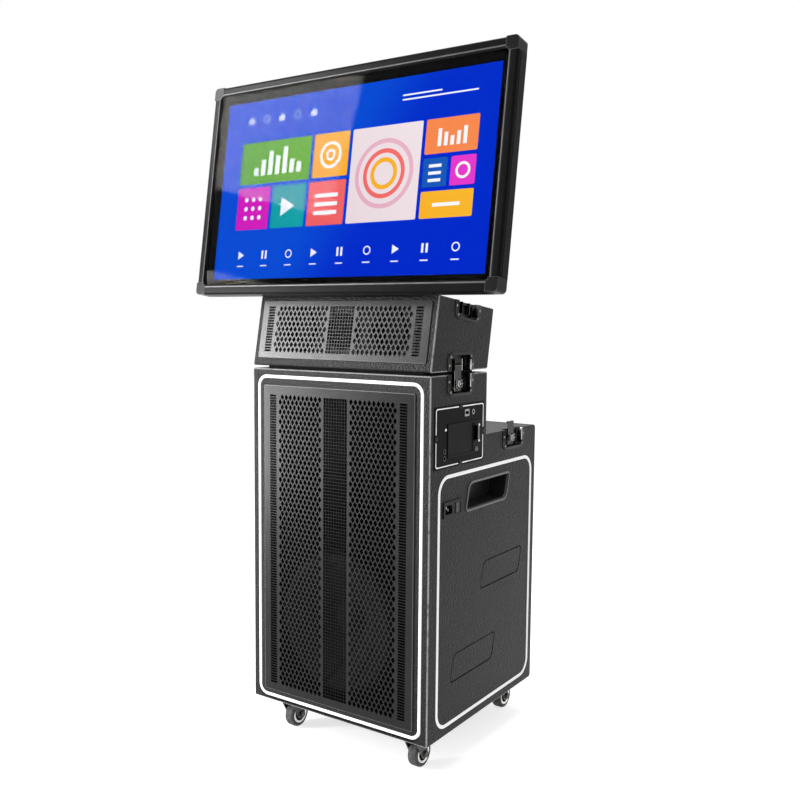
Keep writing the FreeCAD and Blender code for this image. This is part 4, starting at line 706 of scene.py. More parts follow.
class Shape:
    """Points and faces of one piece, gathered in its own frame."""

    def __init__(self):
        self.points = []
        self.faces = []
        self.inks = []

    def add(self, points, faces, ink=0):
        start = len(self.points)
        self.points += [Vector(p) for p in points]
        self.faces += [[start + i for i in face] for face in faces]
        self.inks += [ink] * len(faces)

    def loft(self, loops, ink=0, closed=True, caps=False):
        """Skin from each loop of points to the next."""
        count = len(loops[0])
        spans = count if closed else count - 1
        faces = []
        for k in range(len(loops) - 1):
            low = k * count
            high = low + count
            for i in range(spans):
                j = (i + 1) % count
                faces.append((low + i, low + j, high + j, high + i))
        if caps:
            last = (len(loops) - 1) * count
            faces.append(tuple(range(count)))
            faces.append(tuple(range(last, last + count)))
        self.add([p for loop in loops for p in loop], faces, ink)

    def slab(self, outline, low, high, ink=0):
        self.loft([level(outline, low), level(outline, high)], ink, caps=True)

    def turned(self, profile, centre=(0, 0), steps=40, ink=0):
        """Closed profile (radius, w) turned about the w axis through the centre."""
        loops = []
        for k in range(steps + 1):
            angle = 2 * math.pi * k / steps
            across = Vector((math.cos(angle), math.sin(angle)))
            loops.append([
                Vector((centre[0] + r * across.x, centre[1] + r * across.y, w)) for r, w in profile
            ])
        self.loft(loops, ink)

    def ribbon(self, path, width, low, high, closed, ink=0):
        """Strip with a rounded back along a path on the face."""
        count = len(path)
        loops = []
        for i in range(count):
            before = path[i - 1] if closed or i > 0 else path[i]
            after = path[(i + 1) % count] if closed or i < count - 1 else path[i]
            ahead = (Vector(after) - Vector(before)).normalized()
            side = Vector((ahead.y, -ahead.x))
            loop = []
            for share, rise in STRIP_SECTION:
                spot = Vector(path[i]) + side * (share * width)
                loop.append(Vector((spot.x, spot.y, low + rise * (high - low))))
            loops.append(loop)
        if closed:
            loops.append(loops[0])
        self.loft(loops, ink, caps=not closed)

    def punched(self, outer, holes, low, high, ink=0, wall_shade_ink=0):
        """Sheet between two levels with holes through it; its outer edge is left open."""
        flat = []
        rims = []
        for outline in [outer] + holes:
            rims.append(list(range(len(flat), len(flat) + len(outline))))
            flat += [Vector((p[0], p[1])) for p in outline]
        found = delaunay_2d_cdt(flat, [], rims, 2, 1e-9)
        for w in (low, high):
            self.add(level(found[0], w), found[2], ink)
        for hole in holes:
            self.loft([level(hole, low), level(hole, high)], wall_shade_ink)


def opened(mesh):
    """A mesh's points and faces for editing, with points that fall together merged."""
    work = bmesh.new()
    work.from_mesh(mesh)
    bmesh.ops.remove_doubles(work, verts=work.verts, dist=MERGE)
    return work


def finished(mesh, rounding, segments, edge_ink=-1):
    """Round the sharp edges and shade the result smoothly between them."""
    work = opened(mesh)
    bmesh.ops.recalc_face_normals(work, faces=work.faces)
    if rounding:
        sharp = [e for e in work.edges if len(e.link_faces) == 2 and e.calc_face_angle(0) > ROUND_FROM]
        bmesh.ops.bevel(
            work, geom=sharp, offset=rounding, offset_type="OFFSET", segments=segments, profile=0.5,
            affect="EDGES", clamp_overlap=True, material=edge_ink,
        )
    work.to_mesh(mesh)
    work.free()
    mesh.shade_smooth()
    mesh.set_sharp_from_angle(angle=SHARP_FROM)


def clad(mesh, finishes):
    mesh.materials.clear()
    for finish in finishes:
        mesh.materials.append(finish)


def settle(made, body, stands_for):
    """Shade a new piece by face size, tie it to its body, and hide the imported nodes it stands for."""
    scene.collection.objects.link(made)
    weighted = made.modifiers.new("even_faces", "WEIGHTED_NORMAL")
    weighted.keep_sharp = True
    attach(made, body)
    if stands_for:
        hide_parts(*stands_for)
    return made


def piece(name, shape, finishes, body, place=Matrix(), rounding=0.0, stands_for=(), edge_ink=-1):
    """A new piece of the machine from a gathered shape."""
    mesh = bpy.data.meshes.new(name)
    mesh.from_pydata([place @ p for p in shape.points], [], shape.faces)
    clad(mesh, finishes)
    mesh.polygons.foreach_set("material_index", shape.inks)
    finished(mesh, rounding, 2, edge_ink)
    return settle(bpy.data.objects.new(name, mesh), body, stands_for)


def softened(node, name, finishes, rounding, segments=2, edge_ink=-1, ink=None):
    """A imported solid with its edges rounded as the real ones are; ink picks a finish by a face's middle."""
    mesh = nodes[node].data.copy()
    mesh.name = name
    clad(mesh, finishes)
    work = opened(mesh)
    bmesh.ops.dissolve_limit(
        work, angle_limit=FLAT_BELOW, verts=work.verts, edges=work.edges, use_dissolve_boundaries=False
    )
    for face in work.faces:
        face.material_index = ink(face.calc_center_median()) if ink else 0
    work.to_mesh(mesh)
    work.free()
    finished(mesh, rounding, segments, edge_ink)
    return settle(bpy.data.objects.new(name, mesh), nodes[node]["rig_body"], [node])


def dress(finish, *names):
    """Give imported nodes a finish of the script's own."""
    for name in names:
        clad(nodes[name].data, [finish])


def islands(node):
    """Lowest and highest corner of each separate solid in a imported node."""
    work = opened(nodes[node].data)
    left = set(work.verts)
    found = []
    while left:
        stack = [left.pop()]
        group = []
        while stack:
            vertex = stack.pop()
            group.append(vertex.co.copy())
            for edge in vertex.link_edges:
                other = edge.other_vert(vertex)
                if other in left:
                    left.remove(other)
                    stack.append(other)
        low = Vector([min(p[i] for p in group) for i in range(3)])
        high = Vector([max(p[i] for p in group) for i in range(3)])
        found.append((low, high))
    work.free()
    return sorted(found, key=lambda box: tuple(box[0]))


def diamond(u, v):
    """Pointed hole with slightly swollen sides."""
    points = []
    for k in range(8):
        angle = math.pi * k / 4
        reach = 1.0 if k % 2 == 0 else DIAMOND_BULGE / math.sqrt(2)
        points.append(Vector((
            u + reach * DIAMOND_W / 2 * math.cos(angle),
            v + reach * DIAMOND_H / 2 * math.sin(angle),
        )))
    return points


def perforation(pattern):
    """Outlines of a sheet's holes: dashes at the ends, diamond fields, and a band of squares."""
    def rows(count):
        pitch = (pattern["high"] - pattern["low"]) / count
        return [(row, pattern["low"] + (row + 0.5) * pitch) for row in range(count)]

    def slot(u, v, width, height):
        return rectangle(u - width / 2, u + width / 2, v - height / 2, v + height / 2)

    holes = []
    start, end = pattern["dash_span"]
    for _, v in rows(pattern["dashes"]):
        holes += [slot(side * (start + end) / 2, v, end - start, DASH_H) for side in (1, -1)]
    columns, count = pattern["diamonds"]
    start, end = pattern["field"]
    pitch = (end - start) / (columns + 0.5)
    for row, v in rows(count):
        for column in range(columns):
            u = start + (column + 0.5 + 0.5 * (row % 2)) * pitch
            holes += [diamond(u, v), diamond(-u, v)]
    columns, count = pattern["squares"]
    pitch = 2 * pattern["band"] / columns
    for _, v in rows(count):
        holes += [slot((k + 0.5) * pitch - pattern["band"], v, SQUARE, SQUARE) for k in range(columns)]
    return holes


def perforated_pan(panel, pattern):
    """Perforated sheet whose edges are folded back on to the box."""
    def outline(inset):
        half = panel["half"] - inset
        low = panel["low"] + inset
        return rectangle(-half, half, low, panel["high"] - inset, GRILLE_CORNER, 4)
    proud = panel["proud"]
    shape = Shape()
    face = outline(SHEET)
    # Hole walls take the second finish, the near-black panel paint: painted shade inside the holes
    shape.punched(face, perforation(pattern), proud - SHEET, proud, wall_shade_ink=1)
    rim = [(SHEET, proud), (0.4 * SHEET, proud - 0.12 * SHEET), (0.1 * SHEET, proud - 0.42 * SHEET)]
    rim += [(0, proud - SHEET), (0, 0), (SHEET, 0), (SHEET, proud - SHEET)]
    # The rounded front fold takes the third, paler finish: a painted highlight
    shape.loft([level(outline(inset), w) for inset, w in rim[:5]], 2)
    shape.loft([level(outline(inset), w) for inset, w in rim[4:]])
    return shape


def add_grilles():
    # Second finish of each sheet is painted shade on the hole walls, the third a painted highlight on the folds
    main = perforated_pan(MAIN_PANEL, MAIN_PATTERN)
    piece(
        "front_grille_sheet", main, [GRILLE_PAINT, PANEL_PAINT, FOLD_HIGHLIGHT_PAINT], "cabinet", FRONT,
        stands_for=["main_grille"],
    )
    upper = perforated_pan(UPPER_PANEL, UPPER_PATTERN)
    piece(
        "upper_grille_sheet", upper, [UPPER_GRILLE_LIT_PAINT, PANEL_PAINT, FOLD_HIGHLIGHT_PAINT], "cabinet",
        UPPER_FRONT, stands_for=["upper_grille"],
    )


def strip_path(low, high, width, radius):
    """Middle line of a light strip inside its outer box."""
    inset = width / 2
    return rectangle(low[0] + inset, high[0] - inset, low[1] + inset, high[1] - inset, radius - inset, 14)


def add_light_strips():
    low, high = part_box("front_light_strip")
    foot = low.z - BASE_Z + FRONT_STRIP_LIFT
    path = strip_path((low.x, foot), (high.x, high.z - BASE_Z), STRIP_W, FRONT_STRIP_R)
    front = Shape()
    front.ribbon(path, STRIP_W, -STRIP_GROOVE, STRIP_PROUD, True)
    piece(
        "front_light_guide", front, [DIFFUSER], "cabinet", FRONT,
        stands_for=["front_light_strip"],
    )
    low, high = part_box("side_light_strips")
    path = strip_path(
        (low.y - FRONT_Y, low.z - BASE_Z), (high.y - FRONT_Y, high.z - BASE_Z), SIDE_STRIP_W, SIDE_STRIP_R
    )
    side = Shape()
    side.ribbon(path, SIDE_STRIP_W, -STRIP_GROOVE, STRIP_PROUD, True)
    right = piece("right_light_guide", side, [DIFFUSER], "cabinet", RIGHT)
    piece("left_light_guide", side, [DIFFUSER], "cabinet", MIRROR @ RIGHT)
    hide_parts("side_light_strips")


def bay(half, low, radius):
    """Open outline of a plate hanging from the seam: down one side, round two corners, up the other."""
    corners = [(-half, -LATCH_GAP), (-half, low), (half, low), (half, -LATCH_GAP)]
    return rounded(corners, [0, radius, radius, 0], 7)


def latch_plate(height, back):
    """Pressed plate: a flange, a raised bead and a sunk well, its lip bright towards the back as a painted
    highlight.
    """
    lines = [(LATCH_HALF, -height, LATCH_R, *step) for step in FLANGE_STEPS]
    lines += [(WELL_HALF, WELL_BORDER - height, WELL_R, *step) for step in WELL_STEPS]
    loops = []
    for half, low, radius, out, w in lines:
        grow = out * MM
        loops.append(level(bay(half + grow, low - grow, radius + grow), w * MM))
    # The back part of the lip takes the second, bright finish: a painted highlight
    brightened, plain = (slice(-2, None), slice(0, -1)) if back > 0 else (slice(0, 2), slice(1, None))
    lip = loops[5:8]
    shape = Shape()
    shape.loft(loops[:6], 0, closed=False)
    shape.loft([loop[plain] for loop in lip], 0, closed=False)
    shape.loft([loop[brightened] for loop in lip], 1, closed=False)
    shape.loft(loops[7:], 0, closed=False)
    shape.add(loops[-1], [tuple(range(len(loops[-1])))])
    return shape


def latch_fittings(height, keeper, back):
    """Domed rivets through the plate, and a keeper's ridge between its two guide ribs; the rib towards the back
    is bright as a painted highlight.
    """
    shape = Shape()
    dome = [(0, 0), (1, 0), (1, 0.35), (0.8, 0.85), (0, 1)]
    profile = [(r * RIVET_R, RIVET_SEAT + w * RIVET_H) for r, w in dome]
    across = (LATCH_HALF + WELL_HALF) / 2 + 0.8 * MM
    for u in (-across, across):
        shape.turned(profile, (u, -0.32 * height), 20)
        shape.turned(profile, (u * 0.86, -height + 0.5 * LATCH_R), 20)
    if keeper:
        for side in (-1, 1):
            edges = sorted((side * HOOK_HALF, side * (HOOK_HALF + KEEPER_RIB_T)))
            rib = rectangle(*edges, -KEEPER_RIB_H, -LATCH_GAP)
            # The rib on the back side takes the bright finish: a painted highlight
            shape.slab(rib, -WELL_DEPTH, -KEEPER_RIB_SUNK, 1 if side == back else 2)
        ridge = rectangle(0.4 * MM - HOOK_HALF, HOOK_HALF - 0.4 * MM, *RIDGE_SPAN)
        shape.slab(ridge, -WELL_DEPTH, -RIDGE_SUNK, 2)
    return shape


def latch_wing():
    """Butterfly key: a bow-tie plate, two finger fins and the slotted head of its spindle."""
    shape = Shape()
    spindle = Vector((0, -SPINDLE_DROP))
    reach = WING_R * math.cos(math.asin(WING_TIP / WING_R))
    corners = [(-reach, -WING_TIP), (0, -WING_WAIST), (reach, -WING_TIP)]
    corners += [(reach, WING_TIP), (0, WING_WAIST), (-reach, WING_TIP)]
    outline = rounded(corners, [3 * MM, 4 * MM, 3 * MM] * 2, 5)
    shape.slab([p + spindle for p in outline], WING_TOP - WING_T, WING_TOP)
    for side in (-1, 1):
        ends = sorted((side * (KNOB_R + 0.6 * MM), side * (reach - 1.2 * MM)))
        fin = rectangle(*ends, -FIN_T / 2, FIN_T / 2)
        shape.slab([p + spindle for p in fin], WING_TOP - 0.2 * MM, FIN_TOP)
    low = WING_TOP - WING_T - 1 * MM
    dip = WING_TOP + 0.2 * MM
    crown = WING_TOP + 1.0 * MM
    head = [(0, low), (KNOB_R, low), (KNOB_R, dip), (0.86 * KNOB_R, crown), (0.34 * KNOB_R, crown)]
    shape.turned(head + [(0.30 * KNOB_R, dip), (0, dip)], spindle, 28)
    foot = 0.3 * MM - WELL_DEPTH
    shape.turned([(0, foot), (4 * MM, foot), (4 * MM, low), (0, low)], spindle, 20)
    return shape


def add_latches():
    plates = {"latch_dishes": [], "latch_keepers": []}
    kinds = (("latch_dishes", LATCHES, DISH_H), ("latch_keepers", KEEPERS, KEEPER_H))
    for node, places, height in kinds:
        for name, place in places.items():
            back = math.copysign(1, place.col[0].y)
            plate = latch_plate(height, back)
            fittings = latch_fittings(height, node == "latch_keepers", back)
            # Bright finish of the lip and of the back rib, a painted highlight; dimmer on the top keeper
            lip = DIM_STEEL if name == "top" else NICKEL
            for side, turn in SIDES.items():
                label = node + "_" + name + "_" + side
                seat = turn @ place
                finishes = [LATCH_BLACK, lip]
                plates[node].append(piece(label, plate, finishes, "cabinet", seat))
                finishes = [RIVET_STEEL, lip, LATCH_BLACK]
                piece("fittings_" + label, fittings, finishes, "cabinet", seat, 0.25 * MM)
    for node, made in plates.items():
        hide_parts(node)
        for plate in made:
            skin = plate.modifiers.new("pressed_sheet", "SOLIDIFY")
            skin.thickness = PLATE_T
            skin.offset = -1
    wing = latch_wing()
    # Bevels of the wings and hooks are nickel: a painted highlight along their edges
    finishes = [HOOK_STEEL, NICKEL]
    for name, place in LATCHES.items():
        for side, turn in SIDES.items():
            label = name + "_" + side
            piece(
                "butterfly_wing_" + label, wing, finishes, "wing_" + label, turn @ place,
                0.35 * MM, ["latch_wing_" + label], 1,
            )
            softened("latch_hook_" + label, "draw_hook_" + label, finishes, 0.5 * MM, edge_ink=1)


def add_panel_trim():
    """Bright line round the control panel, in four lengths that stop short of the screws."""
    low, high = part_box("control_panel")
    place = facing(Vector((high.x, (low.y + high.y) / 2, (low.z + high.z) / 2)), Y, Z)
    half_w = (high.y - low.y) / 2 - TRIM_INSET
    half_h = (high.z - low.z) / 2 - TRIM_INSET
    gap = TRIM_BREAK / 2
    shape = Shape()
    for a, b in ((1, 1), (-1, 1), (-1, -1), (1, -1)):
        centre = Vector((a * (half_w - TRIM_R), b * (half_h - TRIM_R)))
        path = [Vector((a * gap, b * half_h))]
        for k in range(9):
            angle = math.pi / 2 * (1 - k / 8)
            path.append(centre + Vector((a * TRIM_R * math.cos(angle), b * TRIM_R * math.sin(angle))))
        path.append(Vector((a * half_w, b * gap)))
        shape.ribbon(path, TRIM_W, -0.1 * MM, TRIM_T, False)
    piece("panel_bright_line", shape, [TRIM_SILVER], "cabinet", place, stands_for=["panel_trim"])


def screw_head(shape, radius, height):
    """Domed cross-slot head on w = 0."""
    arm = 0.62 * radius
    bar = 0.16 * radius
    cross = [(arm, -bar), (arm, bar), (bar, bar), (bar, arm), (-bar, arm), (-bar, bar)]
    cross += [(-arm, bar), (-arm, -bar), (-bar, -bar), (-bar, -arm), (bar, -arm), (bar, -bar)]
    top = circle(0, 0, 0.80 * radius)
    shape.punched(top, [[Vector(p) for p in cross]], 0.35 * height, height)
    shape.add(level(cross, 0.35 * height), [tuple(range(12))], 1)
    rings = [(1.0, 0.0), (1.0, 0.45 * height), (0.94, 0.8 * height), (0.80, height)]
    shape.loft([level(circle(0, 0, radius * share), w) for share, w in rings])


def hex_head(shape, radius, height):
    """Hexagon bolt head on its washer, on w = 0."""
    washer = [(0, 0), (1.45 * radius, 0), (1.45 * radius, 0.2 * height), (0, 0.2 * height)]
    shape.turned(washer, steps=24)
    hexagon = circle(0, 0, radius, 6)
    smaller = circle(0, 0, 0.86 * radius, 6)
    shape.loft([level(hexagon, 0.2 * height), level(hexagon, 0.8 * height), level(smaller, height)], caps=True)


def add_fasteners():
    """Cross-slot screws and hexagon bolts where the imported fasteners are."""
    shape = Shape()
    for low, high in islands("case_screws"):
        size = high - low
        middle = (low + high) / 2
        part = Shape()
        if middle.z < BASE_Z:
            seat = facing(Vector((middle.x, middle.y, high.z)), X, -Y)
            hex_head(part, size.x / 2, size.z)
        elif middle.z > UPPER_Z:
            seat = facing(middle - TOP_UP * (1.5 * MM), X, TOP_BACK)
            hex_head(part, size.x / 2, 3 * MM)
        elif size.x < size.y:
            seat = facing(Vector((low.x, middle.y, middle.z)), Y, Z)
            screw_head(part, size.y / 2, size.x)
            part.inks = [2 if ink == 0 else ink for ink in part.inks]
        else:
            seat = facing(Vector((middle.x, low.y, middle.z)), -X, Z)
            screw_head(part, size.x / 2, size.y)
        for face, ink in zip(part.faces, part.inks):
            shape.add([seat @ part.points[i] for i in face], [tuple(range(len(face)))], ink)
    piece(
        "case_fasteners", shape, [SCREW_ZINC, DARK_PLASTIC, HOOK_STEEL], "cabinet",
        stands_for=["case_screws"],
    )


def near(point, spot, half):
    return abs(point.x - spot[0]) < half[0] and abs(point.y - spot[1]) < half[1]


def add_panel_details():
    """Control panel with its trim, tray, ports and button, then the grip cups and the blank covers."""
    low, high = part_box("control_panel")
    middle = Vector((high.x, (low.y + high.y) / 2, (low.z + high.z) / 2))
    tray_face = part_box("disk_tray")[1].x - HANDLE_REACH

    def port_ink(centre):
        """Pale frame of the data port, collar of the round port, dim jacks, dark bores."""
        spot = Vector((centre.y - middle.y, centre.z - middle.z))
        if centre.x < high.x:
            return 0
        if near(spot, USB_SPOT, USB_HALF):
            return 1
        return 2 if spot.y > PORT_ROW_LOW else 3

    softened("control_panel", "side_control_panel", [PANEL_PAINT], 0.5 * MM)
    add_panel_trim()
    softened(
        "disk_tray", "pull_out_tray", [TRAY_PLASTIC, HANDLE_STEEL], 0.4 * MM,
        ink=lambda centre: 1 if centre.x > tray_face + 0.2 * MM else 0,
    )
    finishes = [DARK_PLASTIC, PALE_PLASTIC, SCREW_ZINC, DIM_STEEL]
    softened("panel_sockets", "panel_ports", finishes, 0.25 * MM, ink=port_ink)
    softened("power_button", "round_power_button", [NICKEL], 0.6 * MM, 3)
    softened("pocket_handles", "grip_cups", [CUP_PLASTIC], 0.45 * MM)
    softened("side_covers", "blank_side_covers", [COATING], 1.7 * MM)
    caps = Shape()
    cap = [(0, -0.3 * MM), (HANDLE_CAP_R, -0.3 * MM), (HANDLE_CAP_R, 0.4 * MM)]
    cap += [(0.75 * HANDLE_CAP_R, 1.1 * MM), (0, 1.4 * MM)]
    for rise in (-HANDLE_CAP_FROM_MIDDLE, HANDLE_CAP_FROM_MIDDLE):
        caps.turned(cap, (HANDLE_SPOT[0], HANDLE_SPOT[1] + rise), 24)
    collar = [(0.62 * LOCK_R, 0), (0.98 * LOCK_R, 0), (0.94 * LOCK_R, 0.5 * MM), (0.68 * LOCK_R, 0.5 * MM)]
    lock = Shape()
    lock.turned(collar, LOCK_SPOT, 28)
    u, v = LOCK_SPOT
    lock.slab(rectangle(u - 0.7 * MM, u + 0.7 * MM, v - 2.6 * MM, v + 2.6 * MM), 0, 0.12 * MM, 1)
    place = facing(Vector((tray_face + HANDLE_REACH, middle.y, middle.z)), Y, Z)
    piece("handle_end_caps", caps, [NICKEL], "tray", place)
    place = facing(Vector((tray_face + LOCK_PROUD, middle.y, middle.z)), Y, Z)
    piece("tray_lock_collar", lock, [DIM_STEEL, DARK_PLASTIC], "tray", place)


def add_inlet():
    """Mains inlet with three plated blades in its socket, and the rocker beside it."""
    low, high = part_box("inlet_housing")
    middle = Vector((low.y + MAINS_SPOT, (low.z + high.z) / 2))
    blades = [(-BLADE_PITCH, -BLADE_RISE), (0, BLADE_RISE), (BLADE_PITCH, -BLADE_RISE)]

    def blade_ink(centre):
        spot = Vector((centre.y, centre.z)) - middle
        if centre.x < high.x - MAINS_DEPTH + 0.1 * MM:
            return 0
        return 1 if any(near(spot, blade, BLADE_HALF) for blade in blades) else 0

    softened(
        "inlet_housing", "mains_inlet_plate", [DARK_PLASTIC, NICKEL], 0.4 * MM, ink=blade_ink
    )
    softened("power_rocker", "mains_rocker_key", [GLOSS_PLASTIC], 0.3 * MM)


def grip_outline(grow):
    """Slanted outline of a grip, centred."""
    half_w = GRIP_HALF[0] + grow
    half_h = GRIP_HALF[1] + grow
    foot = half_w - GRIP_SLANT
    corners = [(-half_w, -half_h), (foot, -half_h), (half_w, half_h), (-foot, half_h)]
    return rounded(corners, [radius + grow for radius in GRIP_R], 8)


def add_grip_lips():
    """Rolled satin lip round the mouth of each grip, paler than the cup as a painted highlight."""
    loops = [level(grip_outline(grow * MM), w * MM) for grow, w in LIP_SECTION]
    shape = Shape()
    shape.loft(loops + loops[:1])
    place = facing(Vector((SIDE_X, BACK_Y - GRIP_FROM_BACK, DECK_Z - GRIP_BELOW_DECK)), Y, Z)
    for side, turn in SIDES.items():
        piece("grip_lip_" + side, shape, [LIP_HIGHLIGHT_PLASTIC], "cabinet", turn @ place)


def rolling_wheel(radius, half):
    """Wheel in millimetres: a tyre grooved in the middle, a bright bead on each side and a dished hub."""
    rim = 0.70 * radius
    web = half / 3
    tyre = [(rim, half - 1.2), (0.86 * radius, half - 0.2), (0.94 * radius, half - 1.4)]
    tyre += [(0.985 * radius, half - 3.4), (radius, half - 6), (radius, 1.0)]
    bead = [(rim - 4.6, half - 0.9), (rim - 2.4, half + 0.2), (rim - 0.2, half)]
    bead += [(rim + 0.5, half - 0.9), (rim, half - 2.4), (rim - 4.6, half - 2.4)]
    hub = [(4.1, half), (8.8, half), (9.4, half - 0.8), (9.4, web + 1.0), (11, web), (rim - 4.6, web)]
    hub += [(rim - 3.2, web + 1.4), (rim - 3.0, half - 2.0), (rim, half - 2.0)]

    def other_half(profile):
        return [(r, -w) for r, w in reversed(profile)]

    shape = Shape()
    shape.turned(tyre + [(radius - 0.5, 0.0)] + other_half(tyre), steps=64, ink=0)
    for profile in (other_half(bead), bead):
        shape.turned(profile, steps=64, ink=1)
    shape.turned(hub + other_half(hub), steps=48, ink=2)
    return shape


def add_casters():
    for corner in ("front_left", "front_right", "rear_left", "rear_right"):
        node = "caster_wheel_" + corner
        low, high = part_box(node)
        size = (high - low) / (2 * MM)
        piece(
            "wheel_" + corner + "_rolling", rolling_wheel(size.z, size.x), [TREAD, NICKEL, DARK_PLASTIC],
            "wheel_" + corner, facing((low + high) / 2, Y, Z) @ MILLIMETRES, stands_for=[node],
        )
        softened("caster_fork_" + corner, "fork_" + corner, [CASTER_ZINC], 0.5 * MM)


def add_back():
    """Rear access panel, and the screen's cover, hinge plate and post, with their edges broken."""
    softened("rear_panel", "rear_access_panel", [COATING], 0.8 * MM)
    softened("monitor_back_cover", "screen_back_cover", [COVER_PAINT], 0.8 * MM)
    softened("tilt_plate", "screen_hinge_plate", [STAND_PAINT], 0.8 * MM)
    softened("monitor_stand", "screen_post", [STAND_PAINT], 1.2 * MM)


def add_frame_bars():
    """Extruded bars with a rolled outer edge, a crest in paler metal as a painted highlight, and a slope down
    to the glass.
    """
    flank = [(0, -34), (0, -11.5), (1.0, -11.0), (1.0, -9.0), (0, -8.5), (0, -6)]
    roll = [(0.45, -3.7), (1.75, -1.75), (3.7, -0.45), (6, 0)]
    crest = [(15.6, 0), (16.0, 0.35), (16.8, 0.7), (18.0, 0.7), (18.8, 0.3)]
    slope = [(19.4, -0.6), (22, -3), (22, -34)]
    section = flank + roll + crest + slope
    bright = range(len(flank + roll), len(flank + roll + crest) - 1)
    half_w = SCREEN_W / 2
    middle = SCREEN_H / 2
    shape = Shape()
    runs = [((0, 0, 0), SCREEN_W), ((half_w, middle, 0), SCREEN_H)]
    runs += [((0, SCREEN_H, 0), SCREEN_W), ((-half_w, middle, 0), SCREEN_H)]
    for quarter, (at, length) in enumerate(runs):
        place = Matrix.Translation(at) @ Matrix.Rotation(quarter * math.pi / 2, 4, "Z")
        reach = length / 2 - CORNER_CAP + 1 * MM
        ends = [[place @ Vector((u, v * MM, w * MM)) for v, w in section] for u in (-reach, reach)]
        for k in range(len(section)):
            pair = [[end[k], end[(k + 1) % len(section)]] for end in ends]
            shape.loft(pair, 1 if k in bright else 0, closed=False)
        for end in ends:
            shape.add(end, [tuple(range(len(section)))])
    piece(
        "screen_frame_bars", shape, [FRAME_METAL, FRAME_EDGE_HIGHLIGHT], "monitor", SCREEN,
        stands_for=["monitor_frame"],
    )


def add_screen():
    """Frame, glass with its printed border, and the lit panel with its picture."""
    add_frame_bars()
    # Cap edges take the paler frame metal: a painted highlight
    finishes = [CAP_PLASTIC, FRAME_EDGE_HIGHLIGHT]
    softened("monitor_corners", "screen_corner_caps", finishes, 0.7 * MM, edge_ink=1)
    dress(GLASS, "touch_glass")
    middle = SCREEN_H / 2
    half_w = PICTURE_W / 2
    half_h = PICTURE_H / 2

    def inside(margin):
        reach = SCREEN_W / 2 - margin
        return rectangle(-reach, reach, margin, SCREEN_H - margin)

    across, up = PICTURE_SHIFT
    outer = inside(PRINT_MARGIN)
    inner = rectangle(across - half_w, across + half_w, middle + up - half_h, middle + up + half_h)
    loops = [level(outer, PRINT_BACK), level(outer, PRINT_FRONT)]
    loops += [level(inner, PRINT_FRONT), level(inner, PRINT_BACK)]
    border = Shape()
    border.loft(loops + loops[:1])
    piece("screen_black_border", border, [BORDER_INK], "monitor", SCREEN)
    panel = Shape()
    outline = inside(PRINT_MARGIN + LIT_INSET)
    front = level(outline, PANEL_FRONT)
    back = level(outline, PANEL_BACK)
    panel.loft([front, back], 1)
    panel.add(front, [range(4)])
    panel.add(back, [range(4)], 1)
    finishes = [lit_background(), PLAIN_SHEET]
    piece("lit_panel", panel, finishes, "monitor", SCREEN, stands_for=["lcd_panel"])
    add_picture(Matrix.Translation((across - half_w, middle + up - half_h, PANEL_FRONT)))


def bars(u, v, width, gap, heights):
    """Upright bars side by side, as on a level meter."""
    starts = [u + i * (width + gap) for i in range(len(heights))]
    return [rectangle(start, start + width, v, v + height) for start, height in zip(starts, heights)]


def ring_band(u, v, outer, inner):
    """Ring as two half outlines."""
    halves = []
    for start in (0.0, math.pi):
        turns = [start + math.pi * k / 20 for k in range(21)]
        edge = [Vector((u + outer * math.cos(a), v + outer * math.sin(a))) for a in turns]
        edge += [Vector((u + inner * math.cos(a), v + inner * math.sin(a))) for a in reversed(turns)]
        halves.append(edge)
    return halves


def triangle(u, v, size):
    """Sign that points to the right."""
    corners = [(-0.5, -0.6), (0.6, 0), (-0.5, 0.6)]
    return [Vector((u + a * size, v + b * size)) for a, b in corners]


def add_picture(corner):
    """A plain menu picture: coloured tiles with geometric marks and two rows of small white signs."""
    order = list(PICTURE_COLOURS)
    shape = Shape()

    def lay(outlines, ink, layer):
        for outline in outlines:
            points = [Vector(p) * MM for p in outline]
            shape.slab(points, layer * LAYER, (layer + 1) * LAYER, order.index(ink))

    for u, v, width, height, ink in TILES:
        lay([rectangle(u, u + width, v, v + height, 3, 4)], ink, 0)
    marks = bars(92, 226, 12, 8, (18, 34, 52, 40, 58, 30, 22))
    marks += ring_band(302, 254, 28, 22) + ring_band(302, 254, 12, 7)
    marks += [circle(98 + 20 * i, 134 + 20 * j, 5, 16) for i in (-1, 0, 1) for j in (0, 1, 2)]
    marks += [triangle(196, 154, 34)]
    marks += [rectangle(270, 330, 130 + 18 * k, 138 + 18 * k) for k in range(3)]
    marks += bars(560, 246, 8, 6, (34, 26, 18, 26, 34))
    marks += [rectangle(545, 573, 178 + 14 * k, 184 + 14 * k) for k in range(3)]
    marks += ring_band(621, 196, 16, 11)
    marks += [rectangle(560, 620, 130, 137)]
    lay(marks, "white", 1)
    for radius, ink in ((70, "rose"), (50, "coral"), (32, "amber"), (15, "pale")):
        lay(ring_band(440, 204, radius, radius - 9), ink, 1)
    signs = []
    for k in range(5):
        u = 70 + 44 * k
        signs += ring_band(u, 350, 9, 7) if k % 2 else bars(u - 8, 342, 4, 2, (10, 16, 12))
    signs += [rectangle(470, 640, 345, 348), rectangle(470, 560, 354, 357)]
    for k in range(9):
        u = 76 + 68 * k
        kinds = ([triangle(u, 52, 15)], bars(u - 8, 43, 5, 5, (18, 18)), ring_band(u, 52, 9, 6.5))
        signs += kinds[k % 3] + [rectangle(u - 9, u + 9, 27, 29.5)]
    lay(signs, "white", 0)
    finishes = [lit_colour("lit_" + name, *ends) for name, ends in PICTURE_COLOURS.items()]
    piece("menu_picture", shape, finishes, "monitor", SCREEN @ corner)


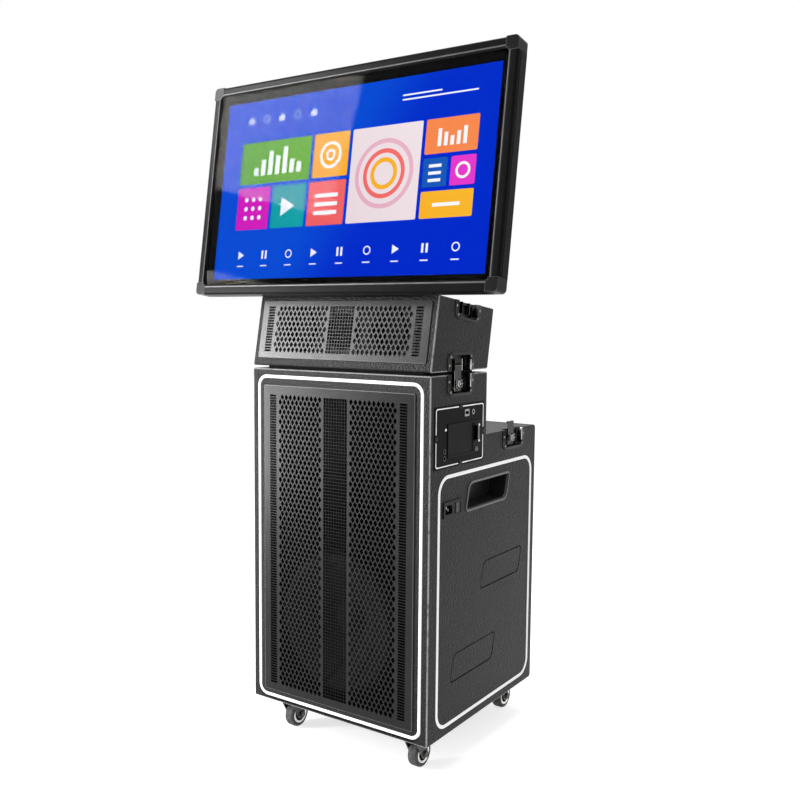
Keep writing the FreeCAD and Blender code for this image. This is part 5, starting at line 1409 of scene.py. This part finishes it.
def dress_packed_nodes():
    dress(COATING, "cabinet_shell", "upper_box_shell")
    dress(BOARD, "front_baffle")
    dress(SPEAKER_PAINT, "woofer_basket", "horn_driver", "mid_baskets", "upper_tweeter")
    dress(PULP, "woofer_cone", "mid_cones")
    dress(HORN_PLASTIC, "horn_flare")
    dress(PLAIN_SHEET, "amplifier_module", "player_chassis")
    dress(WINDING, "power_supply")
    dress(SEAL_RUBBER, "seam_seal")
    dress(SCREW_ZINC, "tilt_pin")
    dress(CASTER_ZINC, "caster_plates")


def add_camera():
    turn = Matrix.Rotation(CAMERA_AZIMUTH, 3, "Z")
    right = turn @ X
    ahead = turn @ Vector((0, math.cos(CAMERA_DOWN), -math.sin(CAMERA_DOWN)))
    across = right * math.cos(CAMERA_ROLL) + right.cross(ahead) * math.sin(CAMERA_ROLL)
    camera = bpy.data.objects.new("camera", bpy.data.cameras.new("camera"))
    camera.matrix_world = facing(CAMERA_AT, across, (-ahead).cross(across))
    camera.data.sensor_width = SENSOR
    camera.data.lens = CAMERA_LENS
    scene.collection.objects.link(camera)
    scene.camera = camera


def softbox(name, at, target, width, height, power):
    lamp = bpy.data.lights.new(name, "AREA")
    lamp.shape = "RECTANGLE"
    lamp.size = width
    lamp.size_y = height
    lamp.energy = power
    made = bpy.data.objects.new(name, lamp)
    made.location = at
    made.rotation_euler = (Vector(target) - Vector(at)).to_track_quat("-Z", "Y").to_euler()
    made.visible_camera = False
    scene.collection.objects.link(made)


def seen_rays(finish):
    """1 for what the camera, a reflection or glass shows, and 0 for light that falls on the machine."""
    path = finish.node("ShaderNodeLightPath")
    return reduce(Signal.most, path.beside("Is Camera Ray", "Is Glossy Ray", "Is Transmission Ray"))


def add_studio():
    """White backdrop, pale floor with a soft shadow, and four soft lights."""
    scene.world = bpy.data.worlds.new("studio")
    sky = Finish(scene.world, "Background", {"Color": grey(1.0)})
    sky.paint({"Strength": seen_rays(sky) * (1 - AMBIENT) + AMBIENT})
    floor = material("studio_floor", {"Roughness": 0.9, GLOSS: 0.0, "Emission Strength": 1.0})
    floor.paint(
        {
            "Base Color": floor.blend(floor.grain(3), 0.80, 0.82),
            "Emission Color": floor.blend(seen_rays(floor), 0.0, FLOOR_LIFT),
        }
    )
    mesh = bpy.data.meshes.new("studio_floor")
    outline = rectangle(-FLOOR_HALF, FLOOR_HALF, -FLOOR_HALF, FLOOR_HALF)
    mesh.from_pydata(level(outline, 0), [], [range(4)])
    mesh.materials.append(floor.owner)
    ground = bpy.data.objects.new("studio_floor", mesh)
    scene.collection.objects.link(ground)
    for name, settings in SOFTBOXES.items():
        softbox(name, *settings)


dress_packed_nodes()
add_grilles()
add_light_strips()
add_latches()
add_panel_details()
add_inlet()
add_grip_lips()
add_fasteners()
add_casters()
add_screen()
add_back()
add_camera()
add_studio()
scene.view_settings.view_transform = "Standard"
